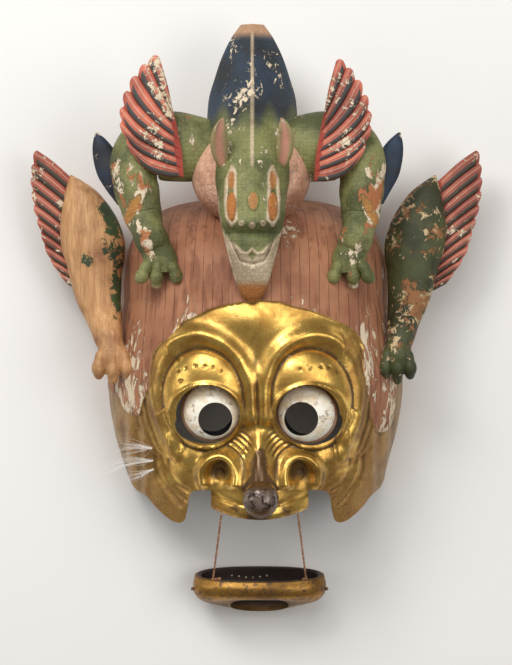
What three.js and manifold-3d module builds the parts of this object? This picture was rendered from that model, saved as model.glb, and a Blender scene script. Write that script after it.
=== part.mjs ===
// Carved dance mask: a hollow wooden hood and gilt face with loose eyeballs, a lower jaw hung on two cords,
// and a winged dragon astride the crown. It lies on the rim of its open back with the face up.
// Millimetres. +X is the viewer's right, +Y is towards the crown and +Z is out of the face.
// While it is modelled, x = 0 is the mask's middle, y = 0 the brow line and z = 0 the plane of the rim.

import * as THREE from 'three';
import { mergeVertices } from 'three/addons/utils/BufferGeometryUtils.js';
import Module from 'manifold-3d';

const wasm = await Module();
wasm.setup();

// Hood and face
const hoodHalfWidth = 105; // half the width of the hood above the brow
const crownHeight = 103; // brow line to the top of the crown
const maskDepth = 114; // rim plane to the middle of the forehead
const faceDrop = 152; // brow line to below the lowest carving
const shellRows = 26; // facets up and across the carved front
const shellColumns = 29;
const domeStart = 20; // height at which the hood begins to round over
const wall = 8; // thickness of the carved wood
const fitGap = 0.35; // gap between two pieces that touch
const flatness = 0.2; // facets this near to one plane are merged
const sectionPower = 2.4; // roundness of the arch across the mask
const outlinePower = 3.3; // squareness of the hood seen from the front
const crownPower = 2.6; // squareness of the hood seen from the side

// Eyes
const eyeSpacing = 76.4; // between the centres of the two eye openings
const eyeDrop = 65.8; // brow line down to the centres of the openings
const eyeOpeningWidth = 49;
const eyeOpeningHeight = 45;
const eyeRadius = 24.2;
const eyeDepth = 11; // from the plain hood down to the ball's middle
const eyeFlatness = 0.7; // depth of the ball's dome against its radius
const eyeWall = 3.5;
const eyeBack = 13; // how far the open-backed ball reaches behind its middle
const pupilRadius = 13;
const socketClearance = 5.3; // round the eyeball, behind the lids
const lidBulge = 12;

// Nose and mouth
const eyeShift = 1.8; // the face was carved a little to the viewer's right of the hood's middle
const noseShift = 3.2;
const noseBallRadius = 13.8;
const nostrilRadius = 16;
const nostrilSpacing = 64;
const lipHalfWidth = 37.5;
const lipThickness = 7;
const muzzleRise = 12; // how far the middle of the face stands out round the nose
const mouthEdge = 124; // brow line down to the edge between the flaps

// Hanging jaw
const jawHalfWidth = 52.6;
const jawDepth = 54; // front to back
const jawHeight = 26;
const jawWall = 5;
const jawDrop = 61.2; // foot of the lip to the middle of the jaw
const jawSlotHalfWidth = 23;
const jawSquareness = 0.86; // below 1 fills out the corners of its oval
const cordDiameter = 1.6;
const cordSpacingAtLip = 59;
const cordSpacingAtJaw = 73;

// Dragon
const dragonShift = -2.5; // the body stands a little to the viewer's left
const dragonRise = 237; // brow line to the broken tip of the tail
const wingThickness = 7;
const featherLift = 1.8; // height of a feather's shaft above its groove

// Turns a table of [position, value] rows into a smooth curve through them.
function curve(rows, at) {
  const last = rows.length - 1;
  if (at <= rows[0][0]) return rows[0][1];
  if (at >= rows[last][0]) return rows[last][1];
  let i = 0;
  while (rows[i + 1][0] < at) i += 1;
  const slope = (a, b) => (rows[b][1] - rows[a][1]) / (rows[b][0] - rows[a][0]);
  const tangent = (k) => {
    if (k === 0) return slope(0, 1);
    return k === last ? slope(last - 1, last) : slope(k - 1, k + 1);
  };
  const span = rows[i + 1][0] - rows[i][0];
  const t = (at - rows[i][0]) / span;
  const t2 = t * t;
  const t3 = t2 * t;
  return (2 * t3 - 3 * t2 + 1) * rows[i][1] + (t3 - 2 * t2 + t) * span * tangent(i)
    + (3 * t2 - 2 * t3) * rows[i + 1][1] + (t3 - t2) * span * tangent(i + 1);
}

// Resamples a list of hand-placed stations, each an array of numbers, to a number of evenly spaced ones.
function resample(stations, count) {
  const last = stations.length - 1;
  return Array.from({ length: count }, (_, k) => {
    const at = (k / (count - 1)) * last;
    return stations[0].map((_, c) => curve(stations.map((s, i) => [i, s[c]]), at));
  });
}

function toManifold(geometry) {
  geometry.deleteAttribute('normal');
  geometry.deleteAttribute('uv');
  const merged = mergeVertices(geometry, 1e-4);
  const index = Array.from(merged.index.array);
  const corner = (i) => new THREE.Vector3().fromBufferAttribute(merged.attributes.position, i);
  const kept = [];
  let volume = 0;
  for (let i = 0; i < index.length; i += 3) {
    const [a, b, c] = index.slice(i, i + 3);
    if (a !== b && b !== c && c !== a) kept.push(a, b, c);
    volume += corner(a).dot(corner(b).cross(corner(c)));
  }
  if (volume < 0) kept.reverse();
  return new wasm.Manifold(new wasm.Mesh({
    numProp: 3,
    vertProperties: new Float32Array(merged.attributes.position.array),
    triVerts: new Uint32Array(kept),
  }));
}

// The largest connected piece of a solid, as a geometry.
function toGeometry(solid) {
  const pieces = solid.simplify(flatness).decompose();
  const largest = pieces.reduce((a, b) => (b.volume() > a.volume() ? b : a));
  const mesh = largest.getMesh();
  const positions = new Float32Array(mesh.vertProperties.length / mesh.numProp * 3);
  for (let i = 0; i < positions.length / 3; i += 1) {
    for (let c = 0; c < 3; c += 1) positions[i * 3 + c] = mesh.vertProperties[i * mesh.numProp + c];
  }
  const geometry = new THREE.BufferGeometry();
  geometry.setAttribute('position', new THREE.BufferAttribute(positions, 3));
  geometry.setIndex(Array.from(mesh.triVerts));
  return geometry;
}

function fromFaces(points, faces) {
  const geometry = new THREE.BufferGeometry();
  const numbers = points.flatMap((p) => [p.x, p.y, p.z]);
  geometry.setAttribute('position', new THREE.Float32BufferAttribute(numbers, 3));
  geometry.setIndex(faces);
  return toManifold(geometry);
}

// A closed solid through rings that each have the same number of points, with a fan over each end.
function loft(rings) {
  const sides = rings[0].length;
  const points = rings.flat();
  const faces = [];
  for (let r = 0; r < rings.length - 1; r += 1) {
    for (let s = 0; s < sides; s += 1) {
      const a = r * sides + s;
      const b = r * sides + ((s + 1) % sides);
      faces.push(a, b, b + sides, a, b + sides, a + sides);
    }
  }
  const cap = (ring, start, flip) => {
    const middle = ring.reduce((sum, p) => sum.add(p), new THREE.Vector3()).divideScalar(sides);
    points.push(middle);
    for (let s = 0; s < sides; s += 1) {
      const a = start + s;
      const b = start + ((s + 1) % sides);
      faces.push(...(flip ? [b, a, points.length - 1] : [a, b, points.length - 1]));
    }
  };
  cap(rings[0], 0, true);
  cap(rings[rings.length - 1], (rings.length - 1) * sides, false);
  return fromFaces(points, faces);
}

// A limb through stations [x, y, z, half-width in the plane of the face, half-thickness], with round ends.
function limb(stations, count, sides, swell = 0) {
  const path = resample(stations, count);
  const rings = path.map(([x, y, z, w, h], k) => {
    const before = path[Math.max(k - 1, 0)];
    const after = path[Math.min(k + 1, count - 1)];
    const along = new THREE.Vector3(...[0, 1, 2].map((c) => after[c] - before[c])).normalize();
    const across = new THREE.Vector3(along.y, -along.x, 0).normalize();
    const out = new THREE.Vector3().crossVectors(across, along).normalize();
    return Array.from({ length: sides }, (_, s) => {
      const turn = (s / sides) * 2 * Math.PI;
      return new THREE.Vector3(x, y, z)
        .addScaledVector(across, (w + swell) * Math.cos(turn))
        .addScaledVector(out, (h + swell) * Math.sin(turn));
    });
  });
  return loft(rings);
}

// A wing: guide curves from root to tip, a feather relief across them, and a flat back.
function wing({ guides, feathers, front, notch, along }, swell = 0) {
  const across = feathers * 2;
  const place = (u, v) => {
    const onGuides = guides.map((g, i) => [i / (guides.length - 1), g]);
    const reach = 1 - notch * Math.abs(2 * ((u * feathers) % 1) - 1) * (u > 0 && u < 1 ? 1 : 0);
    const at = v * reach;
    const along = (guide, c) => curve(guide.map((p, i) => [i / (guide.length - 1), p[c]]), at);
    const pick = (c) => curve(onGuides.map(([s, guide]) => [s, along(guide, c)]), u);
    return new THREE.Vector3(pick(0), pick(1), pick(2));
  };
  const lift = (u, v) => featherLift * (1 - Math.abs(2 * ((u * feathers) % 1) - 1)) * Math.min(1, 4 * v);
  const rings = [];
  for (let k = 0; k <= along; k += 1) {
    const v = k / along;
    const top = [];
    const under = [];
    for (let s = 0; s <= across; s += 1) {
      const u = s / across;
      const p = place(u, v);
      top.push(p.clone().setZ(p.z + front + lift(u, v) + swell));
      under.push(p.clone().setZ(p.z + front - wingThickness - swell));
    }
    rings.push([...top, ...under.reverse()]);
  }
  return loft(rings);
}

// Shares of the hood's half-width and of the mask's depth, by height from the brow line.
const flankShares = [[-152, 0.94], [-117, 0.985], [-104, 1.015], [-83, 1.07], [-60, 1.11], [-40, 1.12],
  [-20, 1.09],  [0, 1.04], [20, 1]];
const depthShares = [[-152, 0.81], [-120, 0.86], [-90, 0.91], [-60, 0.965], [-30, 1.005], [0, 1.015],
  [20, 1]];

function domeShare(y, power, grow) {
  const rise = Math.min(1, Math.max(0, (y - domeStart) / (crownHeight + grow - domeStart)));
  return (1 - rise ** power) ** (1 / power);
}
const halfWidthAt = (y, grow = 0) => (hoodHalfWidth + grow)
  * (y > domeStart ? domeShare(y, outlinePower, grow) : curve(flankShares, y));
function depthAt(y, grow = 0) {
  return (maskDepth + grow) * (y > domeStart ? domeShare(y, crownPower, grow) : curve(depthShares, y));
}

// Height of the plain hood, before carving, over a point of the front view.
function hoodZ(x, y) {
  const share = Math.min(1, Math.abs(x) / halfWidthAt(y));
  return depthAt(y) * (1 - share ** sectionPower) ** (1 / sectionPower);
}

// Height of one row of the hood, for a share from the crown (0) to the lowest edge (1).
const domeRows = 0.42;
function rowHeight(share, grow, drop) {
  if (share < domeRows) {
    const turn = (0.93 * (1 - share / domeRows)) * (Math.PI / 2);
    return domeStart + (crownHeight + grow - domeStart) * Math.sin(turn) ** (2 / outlinePower);
  }
  return domeStart - (domeStart + drop) * ((share - domeRows) / (1 - domeRows));
}

const bump = (d, width) => Math.exp(-((d / width) ** 2));

function distanceTo(line, x, y) {
  let best = Infinity;
  for (let i = 0; i < line.length - 1; i += 1) {
    const [ax, ay] = line[i];
    const [bx, by] = line[i + 1];
    const reach = ((x - ax) * (bx - ax) + (y - ay) * (by - ay)) / ((bx - ax) ** 2 + (by - ay) ** 2);
    const t = Math.min(1, Math.max(0, reach));
    best = Math.min(best, Math.hypot(x - ax - t * (bx - ax), y - ay - t * (by - ay)));
  }
  return best;
}

// The brow roll climbs beside the nose, arches over the eye and runs down the temple.
const browRoll = [[6, -68], [6.2, -50], [8.5, -36], [14, -22.5], [26, -11], [44, -5], [62, -10], [73, -26],
  [76.5, -45], [74, -66], [68, -84]];
const tongueFold = [[84, -40], [78, -62], [71, -84], [66, -94]];

// Height of the carving above the plain hood, measured along its surface's outward direction.
function carving(x, y) {
  const side = Math.abs(x - curve([[-110, noseShift], [-60, eyeShift], [-10, 0]], y));
  const roll = 6.5 * bump(distanceTo(browRoll, side, y), 7) * (side > 66 ? 0.55 : 1);
  const lidShare = ((side - 41.5) / 32.5) ** 2 + ((y + 54.5) / 38.5) ** 2;
  const lid = lidShare < 1 ? lidBulge * Math.sqrt(1 - lidShare) : 0;
  const cheek = 6 * bump(Math.hypot(side - 54, (y + 97) * 1.1), 15);
  const bridgeHeight = curve([[-140, 6], [-122, 14], [-105, 13], [-85, 8], [-72, 2], [-60, 0]], y);
  const bridge = bridgeHeight * bump(side, curve([[-125, 13], [-100, 9], [-75, 6]], y));
  const muzzle = muzzleRise * bump(side, 40) * curve([[-118, 1], [-104, 0.75], [-86, 0.15], [-76, 0]], y);
  const forehead = 4 * bump(Math.hypot(side / 1.9, y - 6), 20);
  const tongue = 2.5 * bump(distanceTo(tongueFold, side, y), 6);
  const flutes = y < -62 && side > 84 ? 1.2 * Math.cos((side - 88) * 0.62) * Math.min(1, (-62 - y) / 12) : 0;
  return Math.max(roll, lid) + cheek + bridge + muzzle + forehead + tongue + flutes;
}

// The outside of the hood as a solid: arches across the mask, one for each row, closed along the rim plane.
function hoodSolid({ rows, columns, grow = 0, drop = faceDrop, below = 0, carved = false }) {
  const place = (share, turn) => {
    const y = rowHeight(share, grow, drop);
    const s = Math.sin(turn);
    const c = Math.max(0, Math.cos(turn));
    const x = halfWidthAt(y, grow) * Math.sign(s) * Math.abs(s) ** (2 / sectionPower);
    return new THREE.Vector3(x, y, -below + (depthAt(y, grow) + below) * c ** (2 / sectionPower));
  };
  const rings = [];
  for (let r = 0; r <= rows; r += 1) {
    const share = r / rows;
    const ring = [];
    for (let k = 0; k <= columns; k += 1) {
      const turn = (k / columns - 0.5) * Math.PI;
      const p = place(share, turn);
      if (carved && k > 0 && k < columns) {
        const step = 0.01;
        const alongTurn = place(share, turn + step).sub(place(share, turn - step));
        const alongRow = place(Math.min(1, share + step), turn).sub(place(Math.max(0, share - step), turn));
        const out = new THREE.Vector3().crossVectors(alongRow, alongTurn).normalize();
        const rimFade = Math.min(1, p.z / 25);
        p.addScaledVector(out, (carving(p.x, p.y)) * rimFade);
      }
      ring.push(p);
    }
    rings.push(ring);
  }
  return loft(rings);
}

// A prism along z over an outline in the plane of the face.
function prism(outline, low, high) {
  const shape = new THREE.Shape(outline.map(([x, y]) => new THREE.Vector2(x, y)));
  const geometry = new THREE.ExtrudeGeometry(shape, { depth: high - low, bevelEnabled: false });
  geometry.translate(0, 0, low);
  return toManifold(geometry);
}

function cylinder(radiusX, radiusY, x, y, low, high, sides = 28) {
  const geometry = new THREE.CylinderGeometry(1, 1, 1, sides);
  geometry.rotateX(Math.PI / 2);
  geometry.scale(radiusX, radiusY, high - low);
  geometry.translate(x, y, (low + high) / 2);
  return toManifold(geometry);
}

function ellipsoid(rx, ry, rz, x, y, z, around = 14, up = 9) {
  const geometry = new THREE.SphereGeometry(1, around, up);
  geometry.rotateX(Math.PI / 2);
  geometry.scale(rx, ry, rz);
  geometry.translate(x, y, z);
  return toManifold(geometry);
}

// What lies below this line is cut away: each side flap ends in a rounded point beside the mouth.
const flapEdge = [[115, -83], [107, -104], [102, -118], [96, -127], [88, -130.5], [82, -138], [75, -144.5],
  [68, -149.5],  [62, -151], [58, -149], [56, -141], [55, -132], [52, -mouthEdge]];
function flapCut() {
  const half = (side) => flapEdge.map(([x, y]) => [side * x + noseShift * Math.min(1, (115 - x) / 30), y]);
  const far = maskDepth * 2;
  const shoulder = flapEdge[0][1];
  const edge = [[far, shoulder], ...half(1), ...half(-1).reverse(), [-far, shoulder]];
  return prism([[-far, -far], [far, -far], ...edge], -10, far);
}

// Each eyeball has rolled a little in its socket, and its pupil was cut off-centre.
const eyePlaces = [
  { side: -1, drift: [3.0, 2.2], pupil: [2.6, -6.2] },
  { side: 1, drift: [-0.8, 0.4], pupil: [-4.2, -4.1] },
].map(({ side, drift, pupil }) => ({
  side,
  opening: new THREE.Vector2(eyeShift + side * eyeSpacing / 2, -eyeDrop),
  middle: new THREE.Vector3(
    eyeShift + side * eyeSpacing / 2 + drift[0],
    -eyeDrop + drift[1],
    hoodZ(eyeSpacing / 2, -eyeDrop) - eyeDepth,
  ),
  pupil,
}));

function nostril(x, y) {
  const r = nostrilRadius;
  const profile = [[0, -14], [1.06 * r, -14], [1.06 * r, -3], [0.97 * r, 4.5], [0.8 * r, 4], [0.62 * r, 6],
    [0.48 * r, 2.5], [0, -4]];
  const geometry = new THREE.LatheGeometry(profile.map(([px, py]) => new THREE.Vector2(px, py)), 16);
  geometry.rotateX(Math.PI / 2);
  geometry.translate(x, y, hoodZ(x, y) + 3);
  return toManifold(geometry);
}

// The upper lip: a strip bent round the mouth under the nose, lowest in the middle.
function lip() {
  const steps = 10;
  const rings = [];
  for (let k = 0; k <= steps; k += 1) {
    const share = (k / steps) * 2 - 1;
    const x = noseShift + lipHalfWidth * share;
    const z = lipZ(share);
    const low = -lipBottom(share);
    rings.push([
      new THREE.Vector3(x, low, z), new THREE.Vector3(x, -mouthEdge + 10, z),
      new THREE.Vector3(x, -mouthEdge + 10, z - lipThickness), new THREE.Vector3(x, low, z - lipThickness),
    ]);
  }
  return loft(rings);
}
const lipZ = (share) => hoodZ(0, -mouthEdge) + muzzleRise - 20 * share * share;
const lipBottom = (share) => mouthEdge + 23 - 8 * share * share;

function maskShell() {
  let solid = hoodSolid({ rows: shellRows, columns: shellColumns, carved: true });
  solid = solid.subtract(hoodSolid({ rows: 12, columns: 16, grow: -wall, drop: faceDrop + 20, below: 4 }));
  solid = solid.subtract(flapCut());
  const noseY = -mouthEdge - 6.5;
  const noseZ = hoodZ(0, noseY) + muzzleRise + 10;
  solid = solid.add(lip());
  const ball = noseBallRadius;
  solid = solid.add(ellipsoid(ball, ball + 1, ball, noseShift + 0.8, noseY, noseZ));
  for (const side of [-1, 1]) {
    solid = solid.add(nostril(noseShift + side * nostrilSpacing / 2, -109));
  }
  for (const { opening, middle } of eyePlaces) {
    const socket = eyeRadius + socketClearance;
    const [x, y, z] = [opening.x, opening.y, middle.z];
    solid = solid.subtract(cylinder(eyeOpeningWidth / 2, eyeOpeningHeight / 2, x, y, z, z + 60));
    solid = solid.subtract(ellipsoid(socket, socket, socket * eyeFlatness, x, y, z, 20, 8));
    solid = solid.subtract(cylinder(socket, socket, x, y, z - 40, z, 20));
  }
  return solid;
}

// An eyeball: a hollow flattened ball, open behind, with its pupil cut right through.
function eyeball({ middle, pupil }) {
  const arc = (radius, steps) => Array.from({ length: steps + 1 }, (_, k) => {
    const turn = (k / steps) * Math.acos(-eyeBack / radius);
    return new THREE.Vector2(radius * Math.sin(turn), radius * Math.cos(turn) * eyeFlatness);
  });
  const profile = [...arc(eyeRadius, 6), ...arc(eyeRadius - eyeWall, 4).reverse()];
  const geometry = new THREE.LatheGeometry(profile, 16);
  geometry.rotateX(Math.PI / 2);
  geometry.translate(middle.x, middle.y, middle.z);
  const [x, y, z] = [middle.x + pupil[0], middle.y + pupil[1], middle.z];
  return toManifold(geometry).subtract(cylinder(pupilRadius, pupilRadius, x, y, z, z + 40, 16));
}

// The jaw: an oval bowl whose mouth looks up towards the face, with a slot low in its front.
const jawZ = jawDepth / 2;
const jawY = -mouthEdge - 23 - jawDrop;
function jaw() {
  const around = 24;
  const half = jawDepth / 2;
  const slotDepth = 9;
  const outerRows = [
    // share of the way down, half-width, half-depth, how far the front drops below the back
    [0, jawHalfWidth - 1.5, half - 1.5, -4.3], [0.3, jawHalfWidth, half, -2],
    [0.6, jawHalfWidth - 2, half - 2, 0.5],
    [0.82, jawHalfWidth - 10, half - 8, 3], [0.92, jawSlotHalfWidth, slotDepth, 5.5],
  ];
  const inset = ([share, w, d, tilt]) => [
    share * 0.9 + 0.02,
    Math.max(w - jawWall, jawSlotHalfWidth - 1),
    Math.max(d - jawWall, slotDepth - 1),
    tilt,
  ];
  const profile = [...outerRows, ...outerRows.slice(0, -1).reverse().map(inset)];
  const rings = Array.from({ length: around }, (_, k) => {
    const turn = (k / around) * 2 * Math.PI;
    return profile.map(([share, w, d, tilt]) => {
      const c = Math.sign(Math.cos(turn)) * Math.abs(Math.cos(turn)) ** jawSquareness;
      const s = Math.sign(Math.sin(turn)) * Math.abs(Math.sin(turn)) ** jawSquareness;
      return new THREE.Vector3(noseShift + w * c, jawY + jawHeight * (0.5 - share) + tilt * s, jawZ + d * s);
    });
  });
  const points = rings.flat();
  const sides = profile.length;
  const faces = [];
  for (let k = 0; k < around; k += 1) {
    for (let s = 0; s < sides; s += 1) {
      const a = k * sides + s;
      const b = k * sides + ((s + 1) % sides);
      const c = ((k + 1) % around) * sides + s;
      const d = ((k + 1) % around) * sides + ((s + 1) % sides);
      faces.push(a, c, b, b, c, d);
    }
  }
  return fromFaces(points, faces);
}

// Each cord runs straight from under the lip to the rim of the jaw.
const cordEnds = [-1, 1].map((side) => {
  const share = (cordSpacingAtLip / 2) / lipHalfWidth;
  const wallMiddle = jawHalfWidth - 1.5 - jawWall / 2;
  const turn = Math.acos((cordSpacingAtJaw / 2 / wallMiddle) ** (1 / jawSquareness));
  const rise = Math.sin(turn) ** jawSquareness;
  return {
    lip: new THREE.Vector3(
      noseShift + side * cordSpacingAtLip / 2,
      -lipBottom(share) - fitGap - 0.9,
      lipZ(share) - lipThickness / 2,
    ),
    jaw: new THREE.Vector3(
      noseShift + side * cordSpacingAtJaw / 2,
      jawY + jawHeight / 2 - 4.3 * rise + fitGap + 1.2,
      jawZ + (jawDepth / 2 - 1.5 - jawWall / 2) * rise,
    ),
  };
});
function cord({ lip: from, jaw: to }) {
  const run = to.clone().sub(from);
  const geometry = new THREE.CylinderGeometry(cordDiameter / 2, cordDiameter / 2, run.length(), 8);
  const upright = new THREE.Vector3(0, 1, 0);
  geometry.applyQuaternion(new THREE.Quaternion().setFromUnitVectors(upright, run.normalize()));
  geometry.translate(...from.clone().lerp(to, 0.5).toArray());
  return toManifold(geometry);
}

// Dragon body: stations down its back [y, half-width, front z, back z, roundness of the front].
const bodyStations = [
  [237, 9, 66, 54, 1.2], [226, 16.5, 74, 54, 1.2], [210, 24, 84, 54, 1.2], [193, 29.5, 95, 55, 1.25],
  [179, 33.4, 103, 56, 1.3], [164, 34.8, 111, 60, 1.45], [148, 35, 119, 64, 1.7], [132, 32.8, 127, 71, 1.9],
  [115, 29.2, 135, 84, 2.1], [103, 26.7, 140, 96, 2.3],
  [90, 25.4, 144, 104, 2.4], [80, 24, 145, 109, 2.4], [73, 22.4, 140, 110, 2.4], [60, 19.3, 138, 113, 2.2],
  [47, 16, 134, 115, 2],  [33, 11.9, 128, 116, 2], [25, 8.4, 125, 117, 2], [20, 3, 121, 118, 2],
];
function bodySolid(swell) {
  const sides = 12;
  const scale = dragonRise / bodyStations[0][0];
  const rings = resample(bodyStations, 21).map(([y, w, front, back, power]) => {
    const middle = back + (front - back) * 0.45;
    return Array.from({ length: sides }, (_, s) => {
      const turn = (s / sides) * 2 * Math.PI;
      const x = (w + swell) * Math.cos(turn);
      const share = Math.abs(Math.cos(turn));
      const rise = (1 - share ** power) ** (1 / Math.max(1, power));
      const z = Math.sin(turn) >= 0
        ? middle + (front + swell - middle) * rise
        : middle - (middle - back + swell) * Math.abs(Math.sin(turn));
      return new THREE.Vector3(dragonShift + x, y * scale, z);
    });
  });
  return loft(rings);
}
const chestSolid = (swell) => ellipsoid(46 + swell, 39 + swell, 36 + swell, dragonShift - 1, 118, 86, 16, 9);
function dragonSolid(swell = 0) {
  let solid = bodySolid(swell).add(chestSolid(swell));
  for (const side of [-1, 1]) {
    const ear = [[22, 124, 116, 3, 2.5], [24.5, 133, 126, 6.2, 3.5], [24.5, 145, 133, 6, 3],
      [21, 157, 137, 1, 1]];
    solid = solid.add(limb(ear.map(([x, y, z, w, h]) => [dragonShift + side * x, y, z, w, h]), 5, 6, swell));
  }
  return solid;
}

// Foreleg: from the shoulder out to the elbow and down to a paw on the hood, with a fin behind the elbow.
// The right one is drawn in towards the body.
const paw = { x: 73, y: 46 };
const foreDrift = (side, y) => (side > 0 ? curve([[45, -0.8], [75, -4], [115, -10.8], [160, -12]], y) : 0);
function forelegSolid(side, swell = 0) {
  const place = ([x, y, ...rest]) => [side * x + foreDrift(side, y), y, ...rest];
  const pawZ = hoodZ(paw.x, paw.y) + 9;
  const leg = [[30, 137, 82, 22, 17], [50, 139, 85, 26, 18], [68, 140.5, 86, 27, 18], [84, 138, 87, 24, 17],
    [93, 128, 88, 19.5, 16], [93, 114, 89, 17, 15.5], [90, 100, 91, 15.6, 14.5], [86.5, 86, 92, 14.6, 13.5],
    [82, 73, pawZ + 2, 13, 12], [77, 62, pawZ, 12, 10],
    [paw.x, 52, pawZ, 13, 9], [paw.x, 43, pawZ, 11, 7]];
  let solid = limb(leg.map(place), 12, 8, swell);
  for (const [dx, tip] of [[-12, 34], [3, 31], [14, 36]]) {
    const toe = [[paw.x + dx * 0.6, 50, pawZ, 4.5, 6], [paw.x + dx, 41, pawZ + 2, 5, 6.5],
      [paw.x + dx * 1.05, tip, pawZ - 3, 2.8, 3]];
    solid = solid.add(limb(toe.map(place), 4, 5, swell));
  }
  const fin = [[123.6, 152, 78, 1, 1.5], [120.5, 143, 78, 6.2, 3.5], [116.6, 132.6, 78, 9.5, 4],
    [112, 122, 79, 11, 4.5],
    [107, 110, 80, 9, 4], [102, 97, 81, 5, 3]];
  return solid.add(limb(fin.map(place), 7, 6, swell));
}

const foreGuides = [
  // inner edge, four feathers between, lower edge: root to tip
  [[64, 170, 101], [67, 185, 104], [71, 199, 103], [75, 211.5, 98]],
  [[61, 158, 101], [71, 172.6, 104], [80, 189, 103], [86.5, 202, 98]],
  [[58.7, 146, 101], [73, 156.5, 104], [87.8, 172, 103], [97.2, 188, 98]],
  [[56.4, 135, 101], [72.4, 142, 104], [91, 154.5, 103], [103.5, 170, 98]],
  [[55.6, 125.2, 101], [69.4, 129.7, 104], [88, 138, 103], [103.5, 153, 98]],
  [[55, 116, 101], [65.5, 115.5, 104], [79.4, 119.5, 103], [94, 131, 98]],
];
function forewingSolid(side, swell = 0) {
  const place = ([x, y, z]) => (side < 0 ? [-x, y, z] : [53 + 0.9 * (x - 64), y - 3, z]);
  const guides = foreGuides.map((guide) => guide.map(place));
  return wing({ guides, feathers: 7, front: 6, notch: 0.1, along: 5 }, swell);
}

// Hind leg: a broad thigh, a shin and a paw that grips the side of the hood.
function hindLegSolid(side, swell = 0) {
  const narrow = (x) => 105 + 0.9 * (x - 105);
  const place = ([x, y, z, w, h]) => (side < 0 ? [-x, y, z, w, h] : [narrow(x), y, z, 0.94 * w, h]);
  const grip = hoodZ(108, -28) + 12;
  const leg = [[145.2, 120, 40, 1, 4], [141.6, 111, 41, 8.5, 10], [136.5, 98.5, 42, 16.5, 14],
    [131.7, 82, 43, 22.8, 16], [127.5, 66, 44, 24.8, 16.5], [125.7, 55, 45, 23.5, 16],
    [125, 42.6, 46, 20.8, 15], [122.4, 24.5, 48, 17.8, 14], [118.5, 10, 51, 14.5, 13],
    [114.8, -6, grip - 3, 11.6, 12], [112, -17, grip, 11.3, 12], [111.5, -27, grip, 12.5, 12],
    [111.3, -36, grip, 9, 8]];
  let solid = limb(leg.map(place), 14, 8, swell);
  for (const [dx, tip] of [[-11, -38], [0, -41.5], [11, -38]]) {
    const toe = [[111 + dx * 0.8, -20, grip + 5, 4, 5], [111 + dx, -30, grip + 6, 4.8, 5.5],
      [111 + dx, tip, grip - 1, 3, 3.5]];
    solid = solid.add(limb(toe.map(place), 4, 5, swell));
  }
  return solid;
}
const hindGuides = [
  // top edge, four feathers between, lower edge: root to tip
  [[141.5, 115.3, 36], [159, 131, 36], [174, 141.5, 34]],
  [[141.5, 92, 36], [159.7, 107.4, 36], [177, 121, 34]],
  [[139, 70, 36], [158, 86, 36], [175.5, 99, 34]],
  [[137, 52, 36], [154, 65.6, 36], [170, 77, 34]],
  [[135, 38, 36], [149.4, 47.5, 36], [162.8, 55.5, 34]],
  [[133.6, 27, 36], [141.5, 31, 36], [149, 35, 34]],
];
function hindwingSolid(side, swell = 0) {
  const place = ([x, y, z]) => [side < 0 ? -x : x + 1.5, y, z];
  const guides = hindGuides.map((guide) => guide.map(place));
  return wing({ guides, feathers: 10, front: 4, notch: 0.07, along: 2 }, swell);
}

// White hairs still planted in the cheek on the viewer's left.
const tufts = [
  [[-80.3, -93, 2], [-97, -93.6, 12], [-114.7, -98, 30]],
  [[-79.5, -103, 2], [-101, -106, 16], [-121.7, -114, 40]],
  [[-79, -109.5, 2], [-92, -114.5, 10], [-103, -118, 24]],
];
function tuft(route) {
  const stations = route.map(([x, y, lift], k) => [x, y, hoodZ(x, y) + lift, 1.8 - 0.4 * k, 1.4 - 0.3 * k]);
  return limb(stations, 6, 5);
}

const finishes = {
  gilt: { color: 0xb8892f, roughness: 0.35, metalness: 0.8 },
  eyeWhite: { color: 0xd9cbae, roughness: 0.45, metalness: 0 },
  cord: { color: 0xb98a63, roughness: 0.8, metalness: 0 },
  dragonGreen: { color: 0x4b6b40, roughness: 0.6, metalness: 0 },
  featherRed: { color: 0xb5513f, roughness: 0.6, metalness: 0 },
  woodBrown: { color: 0x94673f, roughness: 0.65, metalness: 0 },
  hair: { color: 0xe6dfd0, roughness: 0.7, metalness: 0 },
};

const mask = new THREE.Group();
function addPiece(name, solid, finish) {
  const mesh = new THREE.Mesh(toGeometry(solid), new THREE.MeshStandardMaterial(finishes[finish]));
  mesh.name = name;
  mask.add(mesh);
}

addPiece('mask_shell', maskShell(), 'gilt');
addPiece('jaw', jaw(), 'gilt');
const hoodGap = hoodSolid({ rows: shellRows, columns: shellColumns, grow: fitGap, carved: true });
addPiece('dragon_body', dragonSolid().subtract(hoodGap), 'dragonGreen');
const bodyGap = dragonSolid(fitGap);
for (const [index, side, word] of [[0, -1, 'left'], [1, 1, 'right']]) {
  addPiece(`eyeball_${word}`, eyeball(eyePlaces[index]), 'eyeWhite');
  addPiece(`jaw_cord_${word}`, cord(cordEnds[index]), 'cord');
  addPiece(`foreleg_${word}`, forelegSolid(side).subtract(bodyGap).subtract(hoodGap), 'dragonGreen');
  const foreGap = forelegSolid(side, fitGap);
  addPiece(`forewing_${word}`, forewingSolid(side).subtract(bodyGap).subtract(foreGap), 'featherRed');
  addPiece(`hind_leg_${word}`, hindLegSolid(side).subtract(hoodGap), side < 0 ? 'woodBrown' : 'dragonGreen');
  const hindGap = hindLegSolid(side, fitGap);
  addPiece(`hind_wing_${word}`, hindwingSolid(side).subtract(hindGap).subtract(hoodGap), 'featherRed');
}
tufts.forEach((route, k) => addPiece(`whisker_tuft_${k + 1}`, tuft(route).subtract(hoodGap), 'hair'));

// The origin goes to the middle of the whole object's footprint, on the surface it lies on.
const box = new THREE.Box3().setFromObject(mask);
mask.position.set(-(box.min.x + box.max.x) / 2, -(box.min.y + box.max.y) / 2, -box.min.z);

export default mask;
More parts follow.
